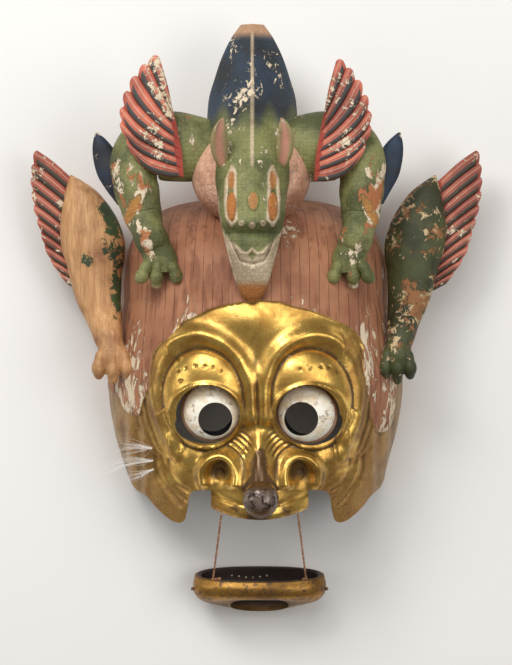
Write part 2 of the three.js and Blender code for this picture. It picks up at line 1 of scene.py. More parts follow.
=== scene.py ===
"""Carved dance mask with a dragon crest: its pieces, their finish and the studio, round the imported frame.

Shapes are worked out in millimetres in the carver's frame: x = 0 is the hood's middle, y = 0 the brow
line and z = 0 the plane of the rim. to_frame() moves them into the row's frame, in metres.
"""
import math

import bpy
import numpy as np
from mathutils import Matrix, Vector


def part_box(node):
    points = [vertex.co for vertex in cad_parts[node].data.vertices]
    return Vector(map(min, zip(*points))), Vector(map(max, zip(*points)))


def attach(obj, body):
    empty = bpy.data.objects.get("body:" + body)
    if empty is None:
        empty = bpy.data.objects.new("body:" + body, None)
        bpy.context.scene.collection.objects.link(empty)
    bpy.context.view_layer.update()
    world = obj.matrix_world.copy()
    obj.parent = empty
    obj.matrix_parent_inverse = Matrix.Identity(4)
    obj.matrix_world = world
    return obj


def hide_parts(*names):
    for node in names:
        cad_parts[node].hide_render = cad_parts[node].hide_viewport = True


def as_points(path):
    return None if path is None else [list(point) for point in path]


bl_info = {
    "name": "Dragon Crest Mask",
    "version": (1, 0, 0),
    "blender": (4, 5, 0),
    "location": "View3D > Sidebar > Mask",
    "description": "Builds a carved and gilded dance mask with loose eyes, a hanging jaw and a dragon crest",
    "category": "Add Mesh",
}

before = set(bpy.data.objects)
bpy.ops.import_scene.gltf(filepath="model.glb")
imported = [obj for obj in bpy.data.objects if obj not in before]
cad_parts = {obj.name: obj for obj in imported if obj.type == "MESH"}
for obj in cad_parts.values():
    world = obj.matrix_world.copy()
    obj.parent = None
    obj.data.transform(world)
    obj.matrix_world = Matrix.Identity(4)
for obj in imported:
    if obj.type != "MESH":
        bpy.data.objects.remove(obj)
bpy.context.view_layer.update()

# The carved hood, as in the solids
HOOD_HALF_WIDTH, CROWN_HEIGHT, MASK_DEPTH, DOME_START = 105.0, 103.0, 114.0, 20.0
CROWN_TOP = 102.7
WALL = 8.0
SECTION_POWER, OUTLINE_POWER, CROWN_POWER = 2.4, 3.3, 2.6
FLANK_SHARES = [(-152, 0.94), (-117, 0.985), (-104, 1.015), (-83, 1.07), (-60, 1.11), (-40, 1.12),
                (-20, 1.09),
                (0, 1.04), (20, 1)]
DEPTH_SHARES = [(-152, 0.81), (-120, 0.86), (-90, 0.91), (-60, 0.965), (-30, 1.005), (0, 1.015), (20, 1)]
MOUTH_EDGE = 124.0
MUZZLE_RISE = 12.0
LIP_HALF_WIDTH, LIP_THICKNESS = 37.5, 7.0
NOSE_RADIUS = 13.8
EYE_SHIFT, NOSE_SHIFT = 1.8, 3.2
EYE_SPACING, EYE_DROP = 76.4, 65.8
OPENING_WIDTH, OPENING_HEIGHT = 49.0, 45.0
EYE_RADIUS, EYE_DEPTH, EYE_FLATNESS, EYE_WALL, EYE_BACK, PUPIL_RADIUS = 24.2, 11.0, 0.7, 3.5, 13.0, 13.0
SOCKET_CLEARANCE = 5.3
LID_BULGE = 12.0

# Jaw and cords
JAW_HALF_WIDTH, JAW_DEPTH, JAW_HEIGHT, JAW_WALL = 52.6, 54.0, 26.0, 5.0
JAW_DROP, JAW_SLOT, JAW_SQUARENESS = 61.2, 23.0, 0.86
CORD_DIAMETER, CORD_AT_LIP, CORD_AT_JAW = 1.6, 59.0, 73.0
FIT_GAP = 0.35

DRAGON_SHIFT = -2.5


# Numbers on arrays

def through(rows, at):
    """A smooth curve through rows of (position, values): a cubic on each span, its slopes those between
    neighbours."""
    rows = np.asarray(rows, float)
    place, value = rows[:, 0], rows[:, 1:]
    slope = np.empty_like(value)
    slope[1:-1] = (value[2:] - value[:-2]) / (place[2:] - place[:-2])[:, None]
    slope[0] = (value[1] - value[0]) / (place[1] - place[0])
    slope[-1] = (value[-1] - value[-2]) / (place[-1] - place[-2])
    at = np.clip(np.asarray(at, float), place[0], place[-1])
    i = np.clip(np.searchsorted(place, at, side="right") - 1, 0, len(place) - 2)
    span = (place[i + 1] - place[i])[..., None]
    t = (at - place[i])[..., None] / span
    out = ((2 * t**3 - 3 * t**2 + 1) * value[i] + (t**3 - 2 * t**2 + t) * span * slope[i]
           + (3 * t**2 - 2 * t**3) * value[i + 1] + (t**3 - t**2) * span * slope[i + 1])
    return out[..., 0] if value.shape[1] == 1 else out


def resample(stations, count):
    """The same stations, evenly re-read count times along a smooth curve through them."""
    stations = np.asarray(stations, float)
    rows = np.column_stack([np.arange(len(stations)), stations])
    return through(rows, np.linspace(0, len(stations) - 1, count))


def bump(distance, width):
    """A bell: e to the minus (distance over width) squared."""
    return np.exp(-((distance / width) ** 2))


def ease(value, low, high):
    """0 below low, 1 above high and an S between them."""
    t = np.clip((value - low) / (high - low), 0, 1)
    return t * t * (3 - 2 * t)


def distance_to(line, x, y):
    """Shortest distance from each point to a line of straight stretches."""
    best = np.full(np.shape(x), 1e9)
    for (ax, ay), (bx, by) in zip(line[:-1], line[1:]):
        t = np.clip(((x - ax) * (bx - ax) + (y - ay) * (by - ay)) / ((bx - ax) ** 2 + (by - ay) ** 2), 0, 1)
        best = np.minimum(best, np.hypot(x - ax - t * (bx - ax), y - ay - t * (by - ay)))
    return best


def depth_inside(outline, x, y):
    """Distance to a closed outline, positive inside it: even-odd count of the sides that a ray to the
    right crosses."""
    closed = list(outline) + [outline[0]]
    inside = np.zeros(np.shape(x), bool)
    for (ax, ay), (bx, by) in zip(closed[:-1], closed[1:]):
        crosses = ((ay > y) != (by > y)) & (x < (bx - ax) * (y - ay) / ((by - ay) or 1e-9) + ax)
        inside ^= crosses
    return np.where(inside, 1, -1) * distance_to(closed, x, y)


# Where the carver's frame lies in the row's frame

def carver_origin():
    low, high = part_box("eyeball_right")
    middle_x = EYE_SHIFT + EYE_SPACING / 2 - 0.8
    middle_y = -EYE_DROP + 0.4
    return np.array([middle_x - 500 * (low[0] + high[0]), middle_y - 500 * (low[1] + high[1]), 0.0])


ORIGIN = carver_origin()


def to_frame(points):
    return (np.asarray(points, float) - ORIGIN) / 1000


# The plain hood and its carving

def dome_share(y, power, grow=0.0):
    rise = np.clip((y - DOME_START) / (CROWN_HEIGHT + grow - DOME_START), 0, 1)
    return (1 - rise**power) ** (1 / power)


def half_width(y, grow=0.0):
    share = np.where(y > DOME_START, dome_share(y, OUTLINE_POWER, grow), through(FLANK_SHARES, y))
    return (HOOD_HALF_WIDTH + grow) * share


def depth(y, grow=0.0):
    share = np.where(y > DOME_START, dome_share(y, CROWN_POWER, grow), through(DEPTH_SHARES, y))
    return (MASK_DEPTH + grow) * share


def hood_z(x, y):
    """Height of the plain hood: a superellipse arch across the mask at each height."""
    share = np.clip(np.abs(x) / half_width(y), 0, 1)
    return depth(y) * (1 - share**SECTION_POWER) ** (1 / SECTION_POWER)


BROW_ROLL = [(6, -68), (6.2, -50), (8.5, -36), (14, -22.5), (26, -11), (44, -5), (62, -10), (73, -26),
             (76.5, -45),
             (74, -66), (68, -84)]
TONGUE_FOLD = [(84, -40), (78, -62), (71, -84), (66, -94)]
NOSTRIL_ROLL = [(19, -117), (18.5, -109), (21, -101), (27.5, -96.5), (34.5, -97.5), (40, -102.5),
                (42.5, -110),
                (42, -118)]
CORNER_FOLDS = [[(81, -98), (80.4, -110), (75, -120), (66, -131.5), (61, -136)],
                [(76.5, -100), (73.5, -108), (71, -116), (64, -127), (57, -132)],
                [(70, -102), (69.3, -111), (63.8, -120.4), (55.7, -125)]]
LEAF = [(70, -60), (66, -72), (60, -82), (57.5, -92), (59.5, -101), (63, -104), (67, -99), (69, -90),
        (74, -78),
        (80, -66)]
GILDING = [(-125, -43), (-113, -50), (-106.7, -53.8), (-104, -61), (-99.6, -65.8), (-93.8, -67.6),
           (-90.3, -66.3),
           (-88.6, -60), (-86, -53), (-82.5, -46), (-81.3, -32), (-78.2, -18.4), (-72.7, -11.4),
           (-63.3, -4.5),
           (-57.9, 3.2), (-48.6, 8.1), (-41.7, 11), (-34.8, 14.6), (-27, 16.9), (-19.5, 18.4), (-11, 19.8),
           (0.4, 20.9), (11, 20.7), (20.3, 19.8), (28.7, 16.5), (41.7, 13.9), (52.5, 9.8), (63, 5.2),
           (72.5, 0.5),
           (79.8, -6), (83.4, -14.5), (83.7, -32), (86.2, -48), (88.6, -55.6), (89.5, -67), (92, -76),
           (97, -81),
           (103, -79.6), (107, -75), (109.5, -64), (110.6, -52), (113, -42), (130, -38), (130, -170),
           (-130, -170)]


def rounded(line, count=30):
    """The same line read along a smooth curve through its points."""
    return [tuple(point) for point in resample(line, count)]


GILDING = rounded(GILDING[:43], 190) + GILDING[43:]
BROW_ROLL, NOSTRIL_ROLL, TONGUE_FOLD = rounded(BROW_ROLL, 40), rounded(NOSTRIL_ROLL), rounded(TONGUE_FOLD, 12)
CORNER_FOLDS = [rounded(line, 16) for line in CORNER_FOLDS]
LEAF = rounded(LEAF)


def face_side(x, y):
    """Distance from the middle of the face, which drifts to the viewer's right towards the nose."""
    return np.abs(x - through([(-110, NOSE_SHIFT), (-60, EYE_SHIFT), (-10, 0)], y))


def opening_edge(x, y):
    """Roughly the distance outside the nearer eye opening's oval edge."""
    dx = np.abs(x - EYE_SHIFT) - EYE_SPACING / 2
    return (np.hypot(dx / (OPENING_WIDTH / 2), (y + EYE_DROP) / (OPENING_HEIGHT / 2)) - 1) * OPENING_WIDTH / 2


def wrinkles(x, y):
    """Arcs round each nostril towards the nose: a cosine of the distance from the nostril, inside one
    sector."""
    side = face_side(x, y)
    ring = np.hypot(side - 31, y + 109)
    angle = np.degrees(np.arctan2(y + 109, 31 - side))
    share = (ease(ring, 17, 20) * (1 - ease(ring, 33, 38)) * ease(angle, 18, 36) * (1 - ease(angle, 86, 112))
             * ease(opening_edge(x, y), 3.5, 7))
    return 0.8 * np.cos(ring * 1.72) * share


def carving(x, y):
    """Height of the carving over the plain hood: rolls are bells along lines, lids are half ellipsoids."""
    side = face_side(x, y)
    to_brow = distance_to(BROW_ROLL, side, y)
    roll = 6.5 * bump(to_brow, 7) * np.where(side > 66, 1 - 0.45 * ease(side, 60, 72), 1)
    share = ((side - 41.5) / 32.5) ** 2 + ((y + 54.5) / 38.5) ** 2
    lid = LID_BULGE * np.sqrt(np.clip(1 - share, 0, 1))
    ring = 1.5 * bump(opening_edge(x, y) - 2.2, 1.6)
    cheek = 6 * bump(np.hypot(side - 53, (y + 98.5) * 1.1), 14)
    bridge = through([(-140, 6), (-122, 14), (-105, 13), (-85, 8), (-72, 2), (-60, 0)], y) * bump(
        side, through([(-125, 13), (-100, 9), (-75, 6)], y))
    muzzle = MUZZLE_RISE * bump(side, 40) * through([(-118, 1), (-104, 0.75), (-86, 0.15), (-76, 0)], y)
    forehead = 4 * bump(np.hypot(side / 1.9, y - 6), 20)
    tongue = 1.5 * bump(distance_to(TONGUE_FOLD, side, y), 5)
    leaf = 2.0 * ease(depth_inside(LEAF, side, y), -0.6, 1.6)
    volute = 7.5 * bump(distance_to(NOSTRIL_ROLL, side, y), 4.6)
    cup = -3.5 * bump(np.hypot(side - 30.5, y + 110), 7)
    folds = -1.3 * sum(bump(distance_to(line, side, y), 2.3) for line in CORNER_FOLDS)
    pinch = -1.6 * bump(side, 2.6) * ease(y, -82, -70) * (1 - ease(y, -50, -38))
    spine = 3.0 * bump(side, 5.5) * ease(y, -78, -64) * (1 - ease(y, -36, -22))
    temple = 0.45 * np.cos(to_brow * 1.35) * ease(side, 74, 80) * ease(to_brow, 5,
                                                                       9) * (1 - ease(to_brow, 18, 24))
    temple = temple * (1 - ease(y, -12, 0))
    flutes = 0.9 * np.cos((side - 88) * 0.5) * ease(side, 84, 92) * ease(-y, 62, 80)
    brim = -1.3 * ease(depth_inside(GILDING, x, y), -0.4, 1.2)
    lids = np.maximum(roll, lid)
    return (lids + ring + cheek + bridge + muzzle + forehead + tongue + leaf + volute + cup + folds + pinch
            + spine + temple + flutes + brim + wrinkles(x, y))


# Meshes

def join_faces(*groups):
    return [np.asarray(group, np.int32) for group in groups if len(group)]


def mesh_object(name, points, faces, smooth_angle=38):
    """A mesh object from points in millimetres and arrays of equal-sided faces, its soft edges shaded
    smooth."""
    mesh = bpy.data.meshes.new(name)
    places = to_frame(points)
    corners = np.concatenate([group.ravel() for group in faces]).astype(np.int32)
    sizes = np.concatenate([np.full(len(group), group.shape[1], np.int32) for group in faces])
    starts = np.concatenate([[0], np.cumsum(sizes)[:-1]]).astype(np.int32)
    mesh.vertices.add(len(places))
    mesh.vertices.foreach_set("co", places.ravel().astype(np.float32))
    mesh.loops.add(len(corners))
    mesh.loops.foreach_set("vertex_index", corners)
    mesh.polygons.add(len(sizes))
    mesh.polygons.foreach_set("loop_start", starts)
    mesh.update(calc_edges=True)
    mesh.validate()
    obj = bpy.data.objects.new(name, mesh)
    bpy.context.scene.collection.objects.link(obj)
    soften(mesh, smooth_angle)
    return obj


def soften(mesh, angle):
    mesh.polygons.foreach_set("use_smooth", np.ones(len(mesh.polygons), bool))
    mesh.polygons.foreach_set("material_index", np.zeros(len(mesh.polygons), np.int32))
    mesh.set_sharp_from_angle(angle=math.radians(angle))


def loft(rings, closed_ends=True):
    """Points and faces of a tube through rings of equal point count, with a fan to the middle of each
    end."""
    count, sides, _ = rings.shape
    points = rings.reshape(-1, 3)
    row, column = np.meshgrid(np.arange(count - 1), np.arange(sides), indexing="ij")
    a = (row * sides + column).ravel()
    b = (row * sides + (column + 1) % sides).ravel()
    quads = np.column_stack([a, b, b + sides, a + sides])
    if not closed_ends:
        return points, join_faces(quads)
    points = np.vstack([points, rings[0].mean(0), rings[-1].mean(0)])
    k = np.arange(sides)
    first = np.column_stack([(k + 1) % sides, k, np.full(sides, count * sides)])
    start = (count - 1) * sides
    last = np.column_stack([start + k, start + (k + 1) % sides, np.full(sides, count * sides + 1)])
    return oriented(points, join_faces(quads, np.vstack([first, last])))


def oriented(points, faces):
    """The same solid with its faces turned outwards: the sum of corner triple products is its volume, so
    positive."""
    volume = 0.0
    for group in faces:
        for k in range(1, group.shape[1] - 1):
            a, b, c = points[group[:, 0]], points[group[:, k]], points[group[:, k + 1]]
            volume += np.einsum("ij,ij->i", a, np.cross(b, c)).sum()
    return (points, faces) if volume > 0 else (points, [group[:, ::-1] for group in faces])


def ring_solid(rows):
    """Points and faces of a closed ring: rows of shape (around, profile, 3), joined both ways."""
    around, profile, _ = rows.shape
    i, j = np.meshgrid(np.arange(around), np.arange(profile), indexing="ij")
    at = lambda p, q: ((p % around) * profile + q % profile).ravel()
    quads = np.column_stack([at(i, j), at(i + 1, j), at(i + 1, j + 1), at(i, j + 1)])
    return oriented(rows.reshape(-1, 3), join_faces(quads))


def put(obj, name, values):
    """Stores one number for each vertex, for the materials to read."""
    attribute = obj.data.attributes.new(name, "FLOAT", "POINT")
    attribute.data.foreach_set("value", np.asarray(values, np.float32))


def places(obj):
    """The object's vertices in the carver's frame, in millimetres."""
    flat = np.empty(len(obj.data.vertices) * 3, np.float32)
    obj.data.vertices.foreach_get("co", flat)
    return flat.reshape(-1, 3).astype(float) * 1000 + ORIGIN


def combine(obj, tool, operation):
    """Carries out one solid operation on obj with tool and removes the tool."""
    step = obj.modifiers.new("carve", "BOOLEAN")
    step.operation, step.solver, step.object = operation, "MANIFOLD", tool
    bpy.context.view_layer.update()
    result = bpy.data.meshes.new_from_object(obj.evaluated_get(bpy.context.evaluated_depsgraph_get()))
    if len(result.polygons) < 100:
        raise RuntimeError(f"{obj.name}: the {operation} with {tool.name} left nothing")
    obj.modifiers.clear()
    result.materials.clear()
    result.name = obj.name
    old = obj.data
    obj.data = result
    bpy.data.meshes.remove(old)
    bpy.data.objects.remove(tool)


def sphere_grid(radii, middle, around=64, up=40):
    turn = np.linspace(0, 2 * np.pi, around, endpoint=False)
    rise = np.linspace(0, np.pi, up + 1)[1:-1]
    ring = np.stack([np.outer(np.sin(rise), np.cos(turn)), np.outer(np.sin(rise), np.sin(turn)),
                     np.repeat(np.cos(rise)[:, None], around, 1)], -1)
    points, faces = loft(ring * np.asarray(radii, float))
    points[-2] = [0, 0, radii[2]]
    points[-1] = [0, 0, -radii[2]]
    return points + np.asarray(middle, float), faces


def cylinder_grid(rx, ry, x, y, low, high, around=96):
    turn = np.linspace(0, 2 * np.pi, around, endpoint=False)
    ring = np.column_stack([x + rx * np.cos(turn), y + ry * np.sin(turn), np.zeros(around)])
    return loft(np.stack([ring + [0, 0, low], ring + [0, 0, high]]))


def limb(stations, count, sides, surface=None):
    """A limb: at each station a ring round the path, its half-width across the path and half-thickness
    off the face.

    surface(share, turn) gives an added height for each point, and the stations are x, y, z, width, thickness.
    """
    path = resample(stations, count)
    along = np.gradient(path[:, :3], axis=0)
    along /= np.linalg.norm(along, axis=1)[:, None]
    across = np.column_stack([along[:, 1], -along[:, 0], np.zeros(count)])
    across /= np.linalg.norm(across, axis=1)[:, None] + 1e-9
    out = np.cross(across, along)
    turn = np.linspace(0, 2 * np.pi, sides, endpoint=False)
    extra = np.zeros((count, sides)) if surface is None else surface(np.linspace(0, 1, count)[:, None],
                                                                     turn[None, :])
    wide = (path[:, 3:4] + extra) * np.cos(turn)
    thick = (path[:, 4:5] + extra) * np.sin(turn)
    rings = path[:, None, :3] + across[:, None] * wide[..., None] + out[:, None] * thick[..., None]
    points, faces = loft(rings)
    share = np.append(np.repeat(np.linspace(0, 1, count), sides), [0, 1])
    facing = np.append(np.tile(np.sin(turn), count), [0, 0])
    return points, faces, share, facing


# The shell

def hood_rows(top, foot):
    body = np.linspace(foot, 70, 236)
    cap = top - (top - 70) * (1 - np.linspace(0, 1, 44)[1:]) ** 2
    return np.concatenate([body, cap])[::-1]


def hood_solid(name, rows, columns, grow=0.0, foot=-152.0, below=0.0, carved=False):
    """The hood as arches across the mask, closed along the rim plane; the carving moves points along its
    normal."""
    top = CROWN_TOP + grow
    heights = hood_rows(top, foot) if carved else np.linspace(top - 0.3, foot, rows)
    turn = (np.linspace(0, 1, columns + 1) - 0.5) * np.pi
    sine, cosine = np.abs(np.sin(turn)), np.clip(np.cos(turn), 0, 1)
    reach = (sine**SECTION_POWER + cosine**SECTION_POWER) ** (1 / SECTION_POWER)
    x = half_width(heights, grow)[:, None] * (np.sign(turn) * sine / reach)
    z = (depth(heights, grow)[:, None] + below) * (cosine / reach) - below
    points = np.stack([x, np.repeat(heights[:, None], columns + 1, 1), z], -1)
    if carved:
        across = np.gradient(points, axis=1)
        down = np.gradient(points, axis=0)
        normal = np.cross(down, across)
        normal /= np.linalg.norm(normal, axis=2)[..., None] + 1e-9
        lift = carving(points[..., 0], points[..., 1]) * np.clip(points[..., 2] / 25, 0, 1)
        lift[:, 0] = lift[:, -1] = 0
        points = points + normal * lift[..., None]
        points[..., 2] = np.maximum(points[..., 2], 0)
    return mesh_object(name, *loft(points))


FLAP_EDGE = [(115, -83), (107, -104), (102, -118), (96, -127), (88, -130.5), (82, -138), (75, -144.5),
             (68, -149.5),
             (62, -151), (58, -149), (56, -141), (55, -132), (52, -MOUTH_EDGE)]


def flap_tool():
    """A prism along z whose upper side is the lower edge of the face: flaps beside the mouth's straight
    notch."""
    def half(side):
        return [(side * x + NOSE_SHIFT * min(1, (115 - x) / 30), y) for x, y in FLAP_EDGE]
    right = np.array(half(1))
    left = np.array(half(-1))[::-1]
    edge = np.vstack([[[228, -83]], right, left, [[-228, -83]]])
    fine = np.vstack([np.linspace(a, b, 6, endpoint=False) for a,
                      b in zip(edge[:-1], edge[1:])] + [edge[-1:]])
    kernel = np.array([1, 2, 3, 2, 1]) / 9
    eased = fine.copy()
    for axis in range(2):
        eased[2:-2, axis] = np.convolve(fine[:, axis], kernel, "valid")
    outline = np.vstack([eased, [[-228, -228], [228, -228]]])
    count = len(outline)
    low = np.column_stack([outline, np.full(count, -10.0)])
    high = np.column_stack([outline, np.full(count, 228.0)])
    k = np.arange(count)
    sides = np.column_stack([k, (k + 1) % count, (k + 1) % count + count, k + count])
    points, faces = oriented(np.vstack([low, high]), [sides, k[None, ::-1], (k + count)[None, :]])
    return mesh_object("flap_tool", points, faces)


def lip_z(share):
    return hood_z(0.0, -MOUTH_EDGE) + MUZZLE_RISE - 20 * share**2


def lip_bottom(share):
    return MOUTH_EDGE + 23 - 8 * share**2


def lip_tool():
    """The lip: a strip bent back towards its ends, with a rounded foot and one fold that sags to the
    middle."""
    share = np.linspace(-1, 1, 120)
    down = np.linspace(0, 1, 26)
    x = NOSE_SHIFT + LIP_HALF_WIDTH * share
    top, foot = -MOUTH_EDGE + 10, -lip_bottom(share)
    y = top + (foot - top)[:, None] * down
    fold = -1.4 * bump((y + 127.5 + 9 * (1 - share[:, None] ** 2)), 1.5) - 2.2 * ease(down, 0.86, 1.02) ** 2
    front = lip_z(share)[:, None] + fold + 1.2 * np.cos(down * np.pi)
    back = lip_z(share)[:, None] - LIP_THICKNESS + 0 * y
    xs = np.repeat(x[:, None], len(down), 1)
    rings = np.concatenate([np.stack([xs, y, front], -1), np.stack([xs, y, back], -1)[:, ::-1]], 1)
    return mesh_object("lip_tool", *loft(rings))


EYES = {
    "left": {"side": -1, "drift": (3.0, 2.2), "pupil": (2.6, -6.2)},
    "right": {"side": 1, "drift": (-0.8, 0.4), "pupil": (-4.2, -4.1)},
}
EYE_Z = float(hood_z(EYE_SPACING / 2, -EYE_DROP)) - EYE_DEPTH


def opening_middle(side):
    return EYE_SHIFT + side * EYE_SPACING / 2, -EYE_DROP


def build_shell():
    shell = hood_solid("hood_and_face", 0, 300, carved=True)
    combine(shell, hood_solid("hollow_tool", 60, 90, grow=-WALL, foot=-172, below=4), "DIFFERENCE")
    combine(shell, flap_tool(), "DIFFERENCE")
    combine(shell, lip_tool(), "UNION")
    nose_y = -MOUTH_EDGE - 6.5
    nose = (NOSE_SHIFT + 0.8, nose_y, float(hood_z(0.0, nose_y)) + MUZZLE_RISE + 10)
    combine(shell, mesh_object("nose_tool", *sphere_grid((NOSE_RADIUS, NOSE_RADIUS + 1, NOSE_RADIUS), nose,
                                                         96, 60)),
            "UNION")
    for side in (-1, 1):
        x, y = opening_middle(side)
        socket = EYE_RADIUS + SOCKET_CLEARANCE
        tools = [cylinder_grid(OPENING_WIDTH / 2, OPENING_HEIGHT / 2, x, y, EYE_Z, EYE_Z + 60, 120),
                 sphere_grid((socket, socket, socket * EYE_FLATNESS), (x, y, EYE_Z), 96, 48),
                 cylinder_grid(socket, socket, x, y, EYE_Z - 40, EYE_Z, 96)]
        for tool in tools:
            combine(shell, mesh_object("eye_tool", *tool), "DIFFERENCE")
        hole = cylinder_grid(4.2, 5.2, NOSE_SHIFT + side * 30.5, -112, 96, 160, 40)
        combine(shell, mesh_object("nostril_tool", *hole), "DIFFERENCE")
    soften(shell.data, 38)
    dress_shell(shell, nose)
    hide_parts("mask_shell")
    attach(shell, "mask")
    return shell


def hollowness(x, y, height, reach):
    """How far a point lies below the mean of eight points round it: positive in a groove, negative on a
    ridge."""
    turn = np.linspace(0, 2 * np.pi, 8, endpoint=False)
    around = sum(height(x + reach * np.cos(a), y + reach * np.sin(a)) for a in turn) / 8
    return around - height(x, y)


DOTS = [(-59, -24.3), (-59, -32.7), (-57, -40.3), (-53, -30.4), (-46, -28.8), (-38.4, -29.2), (-32.3, -30),
        (-26.2, -33.1), (33.5, -31.6), (42, -30.7), (50.2, -29.2), (56, -29.9), (62, -34)]


def dress_shell(shell, nose):
    """Stores what the finish follows: the gilding's edge, grooves, ridges, the inside, and marks on the
    face."""
    at = places(shell)
    x, y, z = at.T
    put(shell, "gilding", depth_inside(GILDING, x, y))
    put(shell, "groove", hollowness(x, y, carving, 2.2))
    put(shell, "hollow", hollowness(x, y, carving, 6.0))
    inner = ((np.abs(x) / np.maximum(half_width(y, -WALL), 1)) ** SECTION_POWER
             + (np.clip(z, 0, None) / np.maximum(depth(y, -WALL), 1)) ** SECTION_POWER)
    inner = np.where(y > CROWN_HEIGHT - WALL, 2.0, inner)
    off_lip = np.maximum(np.abs(x - NOSE_SHIFT) - LIP_HALF_WIDTH - 2, y + MOUTH_EDGE - 8)
    put(shell, "inside", np.where((inner < 1.04) & ((off_lip > 0) | (z < 80)), 1.0, 0.0))
    side = face_side(x, y)
    to_nose = np.linalg.norm(at - np.array(nose), axis=1) - NOSE_RADIUS
    put(shell, "nose_dark", np.clip(bump(to_nose.clip(0), 3.0) + 0.9 * bump(side,
                                                                            through([(-125, 15), (-100, 10),
                                                                                     (-84, 4)], y))
                                    * ease(-y, 80, 98), 0, 1))
    put(shell, "nose_ball", 1 - ease(to_nose, 0.1, 0.5))
    put(shell, "lip_dark", ease(-y, MOUTH_EDGE + 3,
                                MOUTH_EDGE + 16) * (np.abs(x - NOSE_SHIFT) < LIP_HALF_WIDTH + 2))
    put(shell, "strand", x / half_width(y) ** 0.35)
    dots = np.min([np.hypot(x - a, y - b) for a, b in DOTS], axis=0)
    put(shell, "pricks", 1 - ease(dots, 1.0, 2.2))
    # outer: the face's outer sides and lower corners; the finish paints shade on the gold there and sheds
    # more hood paint.
    put(shell, "outer", np.maximum(ease(side, 64, 92) * ease(-y, -20, 40),
                                   ease(-y, 104, 136) * ease(side, 44, 64)))
    shell.data.materials.append(shell_finish())


# Finishes: a small language for nodes

class Tree:
    """Adds nodes to one node tree. An input is a number, a colour, a vector or another node's output."""

    def __init__(self, tree):
        self.tree = tree

    def add(self, kind, inputs=None, **settings):
        node = self.tree.nodes.new(kind)
        for name, value in settings.items():
            setattr(node, name, value)
        for key, value in (inputs or {}).items():
            self.join(node.inputs[key], value)
        return node

    def join(self, socket, value):
        if isinstance(value, bpy.types.NodeSocket):
            self.tree.links.new(value, socket)
        elif isinstance(value, (tuple, list)) and len(value) == 3 and socket.type == "RGBA":
            socket.default_value = (*value, 1)
        else:
            socket.default_value = value

    def math(self, operation, a, b=0.0, clamp=False):
        return self.add("ShaderNodeMath", {0: a, 1: b}, operation=operation, use_clamp=clamp).outputs[0]

    def times(self, a, b, clamp=False):
        return self.math("MULTIPLY", a, b, clamp)

    def plus(self, a, b):
        return self.math("ADD", a, b)

    def rest(self, share):
        """What a share leaves of one."""
        return self.math("SUBTRACT", 1.0, share)

    def step(self, value, low, high, to_low=0.0, to_high=1.0):
        node = self.add("ShaderNodeMapRange", {"Value": value, "From Min": low, "From Max": high,
                                               "To Min": to_low, "To Max": to_high},
                        interpolation_type="SMOOTHSTEP")
        return node.outputs["Result"]

    def mix(self, share, a, b, blend="MIX"):
        node = self.tree.nodes.new("ShaderNodeMix")
        node.data_type, node.blend_type = "RGBA", blend
        for key, value in ((0, share), (6, a), (7, b)):
            self.join(node.inputs[key], value)
        return node.outputs[2]

    def blend(self, share, a, b):
        node = self.tree.nodes.new("ShaderNodeMix")
        node.data_type = "FLOAT"
        for key, value in ((0, share), (2, a), (3, b)):
            self.join(node.inputs[key], value)
        return node.outputs[0]

    def noise(self, vector, scale, detail=4.0, roughness=0.55, distortion=0.0):
        node = self.add("ShaderNodeTexNoise", {"Vector": vector, "Scale": scale, "Detail": detail,
                                               "Roughness": roughness, "Distortion": distortion})
        return node.outputs["Fac"]

    def stretch(self, vector, scale, location=(0, 0, 0)):
        node = self.add("ShaderNodeMapping", {"Vector": vector, "Scale": scale, "Location": location})
        return node.outputs[0]

    def read(self, name):
        return self.add("ShaderNodeAttribute", attribute_name=name).outputs["Fac"]

    def here(self):
        return self.add("ShaderNodeTexCoord").outputs["Object"]

    def relief(self, shader, height, strength, distance=0.001):
        """Bends the shader's normal by a height."""
        node = self.add("ShaderNodeBump", {"Height": height, "Strength": strength, "Distance": distance})
        self.join(shader.inputs["Normal"], node.outputs[0])


def new_finish(name):
    """A new material with its node tree and its Principled shader."""
    made = bpy.data.materials.new(name)
    made.use_nodes = True
    return made, Tree(made.node_tree), made.node_tree.nodes["Principled BSDF"]


def node_group(name, inputs, outputs, make):
    """A shared effect: named inputs with defaults, named outputs, and make(tree, inputs) for what is
    between."""
    if name in bpy.data.node_groups:
        return bpy.data.node_groups[name]
    group = bpy.data.node_groups.new(name, "ShaderNodeTree")
    for socket, (kind, default) in inputs.items():
        item = group.interface.new_socket(socket, in_out="INPUT", socket_type=kind)
        if default is not None:
            item.default_value = default
    for socket, kind in outputs.items():
        group.interface.new_socket(socket, in_out="OUTPUT", socket_type=kind)
    tree = Tree(group)
    entry = group.nodes.new("NodeGroupInput")
    leave = group.nodes.new("NodeGroupOutput")
    for socket, value in make(tree, entry.outputs).items():
        tree.join(leave.inputs[socket], value)
    return group


NUMBER, ARROW = "NodeSocketFloat", "NodeSocketVector"


def flaking_group():
    """Lost paint: broad patches where the loss gathers, broken up by fine ragged noise, with a sharp
    edge."""
    def make(tree, given):
        at = tree.stretch(given["Vector"], (1, 1, 1))
        broad = tree.noise(at, given["Patch Scale"], 3, 0.5)
        fine = tree.noise(at, given["Chip Scale"], 6, 0.7, 0.6)
        total = tree.plus(tree.times(broad, 0.5), tree.times(fine, 0.65))
        total = tree.plus(total, given["Bias"])
        low = tree.rest(given["Amount"])
        mask = tree.step(total, low, tree.plus(low, 0.025))
        lip = tree.step(total, tree.math("SUBTRACT", low, 0.03), tree.plus(low, 0.03))
        return {"Lost": mask, "Height": tree.rest(lip),
                "Edge": tree.math("SUBTRACT", lip, mask)}
    return node_group("Flaking", {"Vector": (ARROW, None), "Patch Scale": (NUMBER, 30.0),
                                  "Chip Scale": (NUMBER, 200.0),
                                  "Amount": (NUMBER, 0.3), "Bias": (NUMBER, 0.0)},
                      {"Lost": NUMBER, "Height": NUMBER, "Edge": NUMBER}, make)


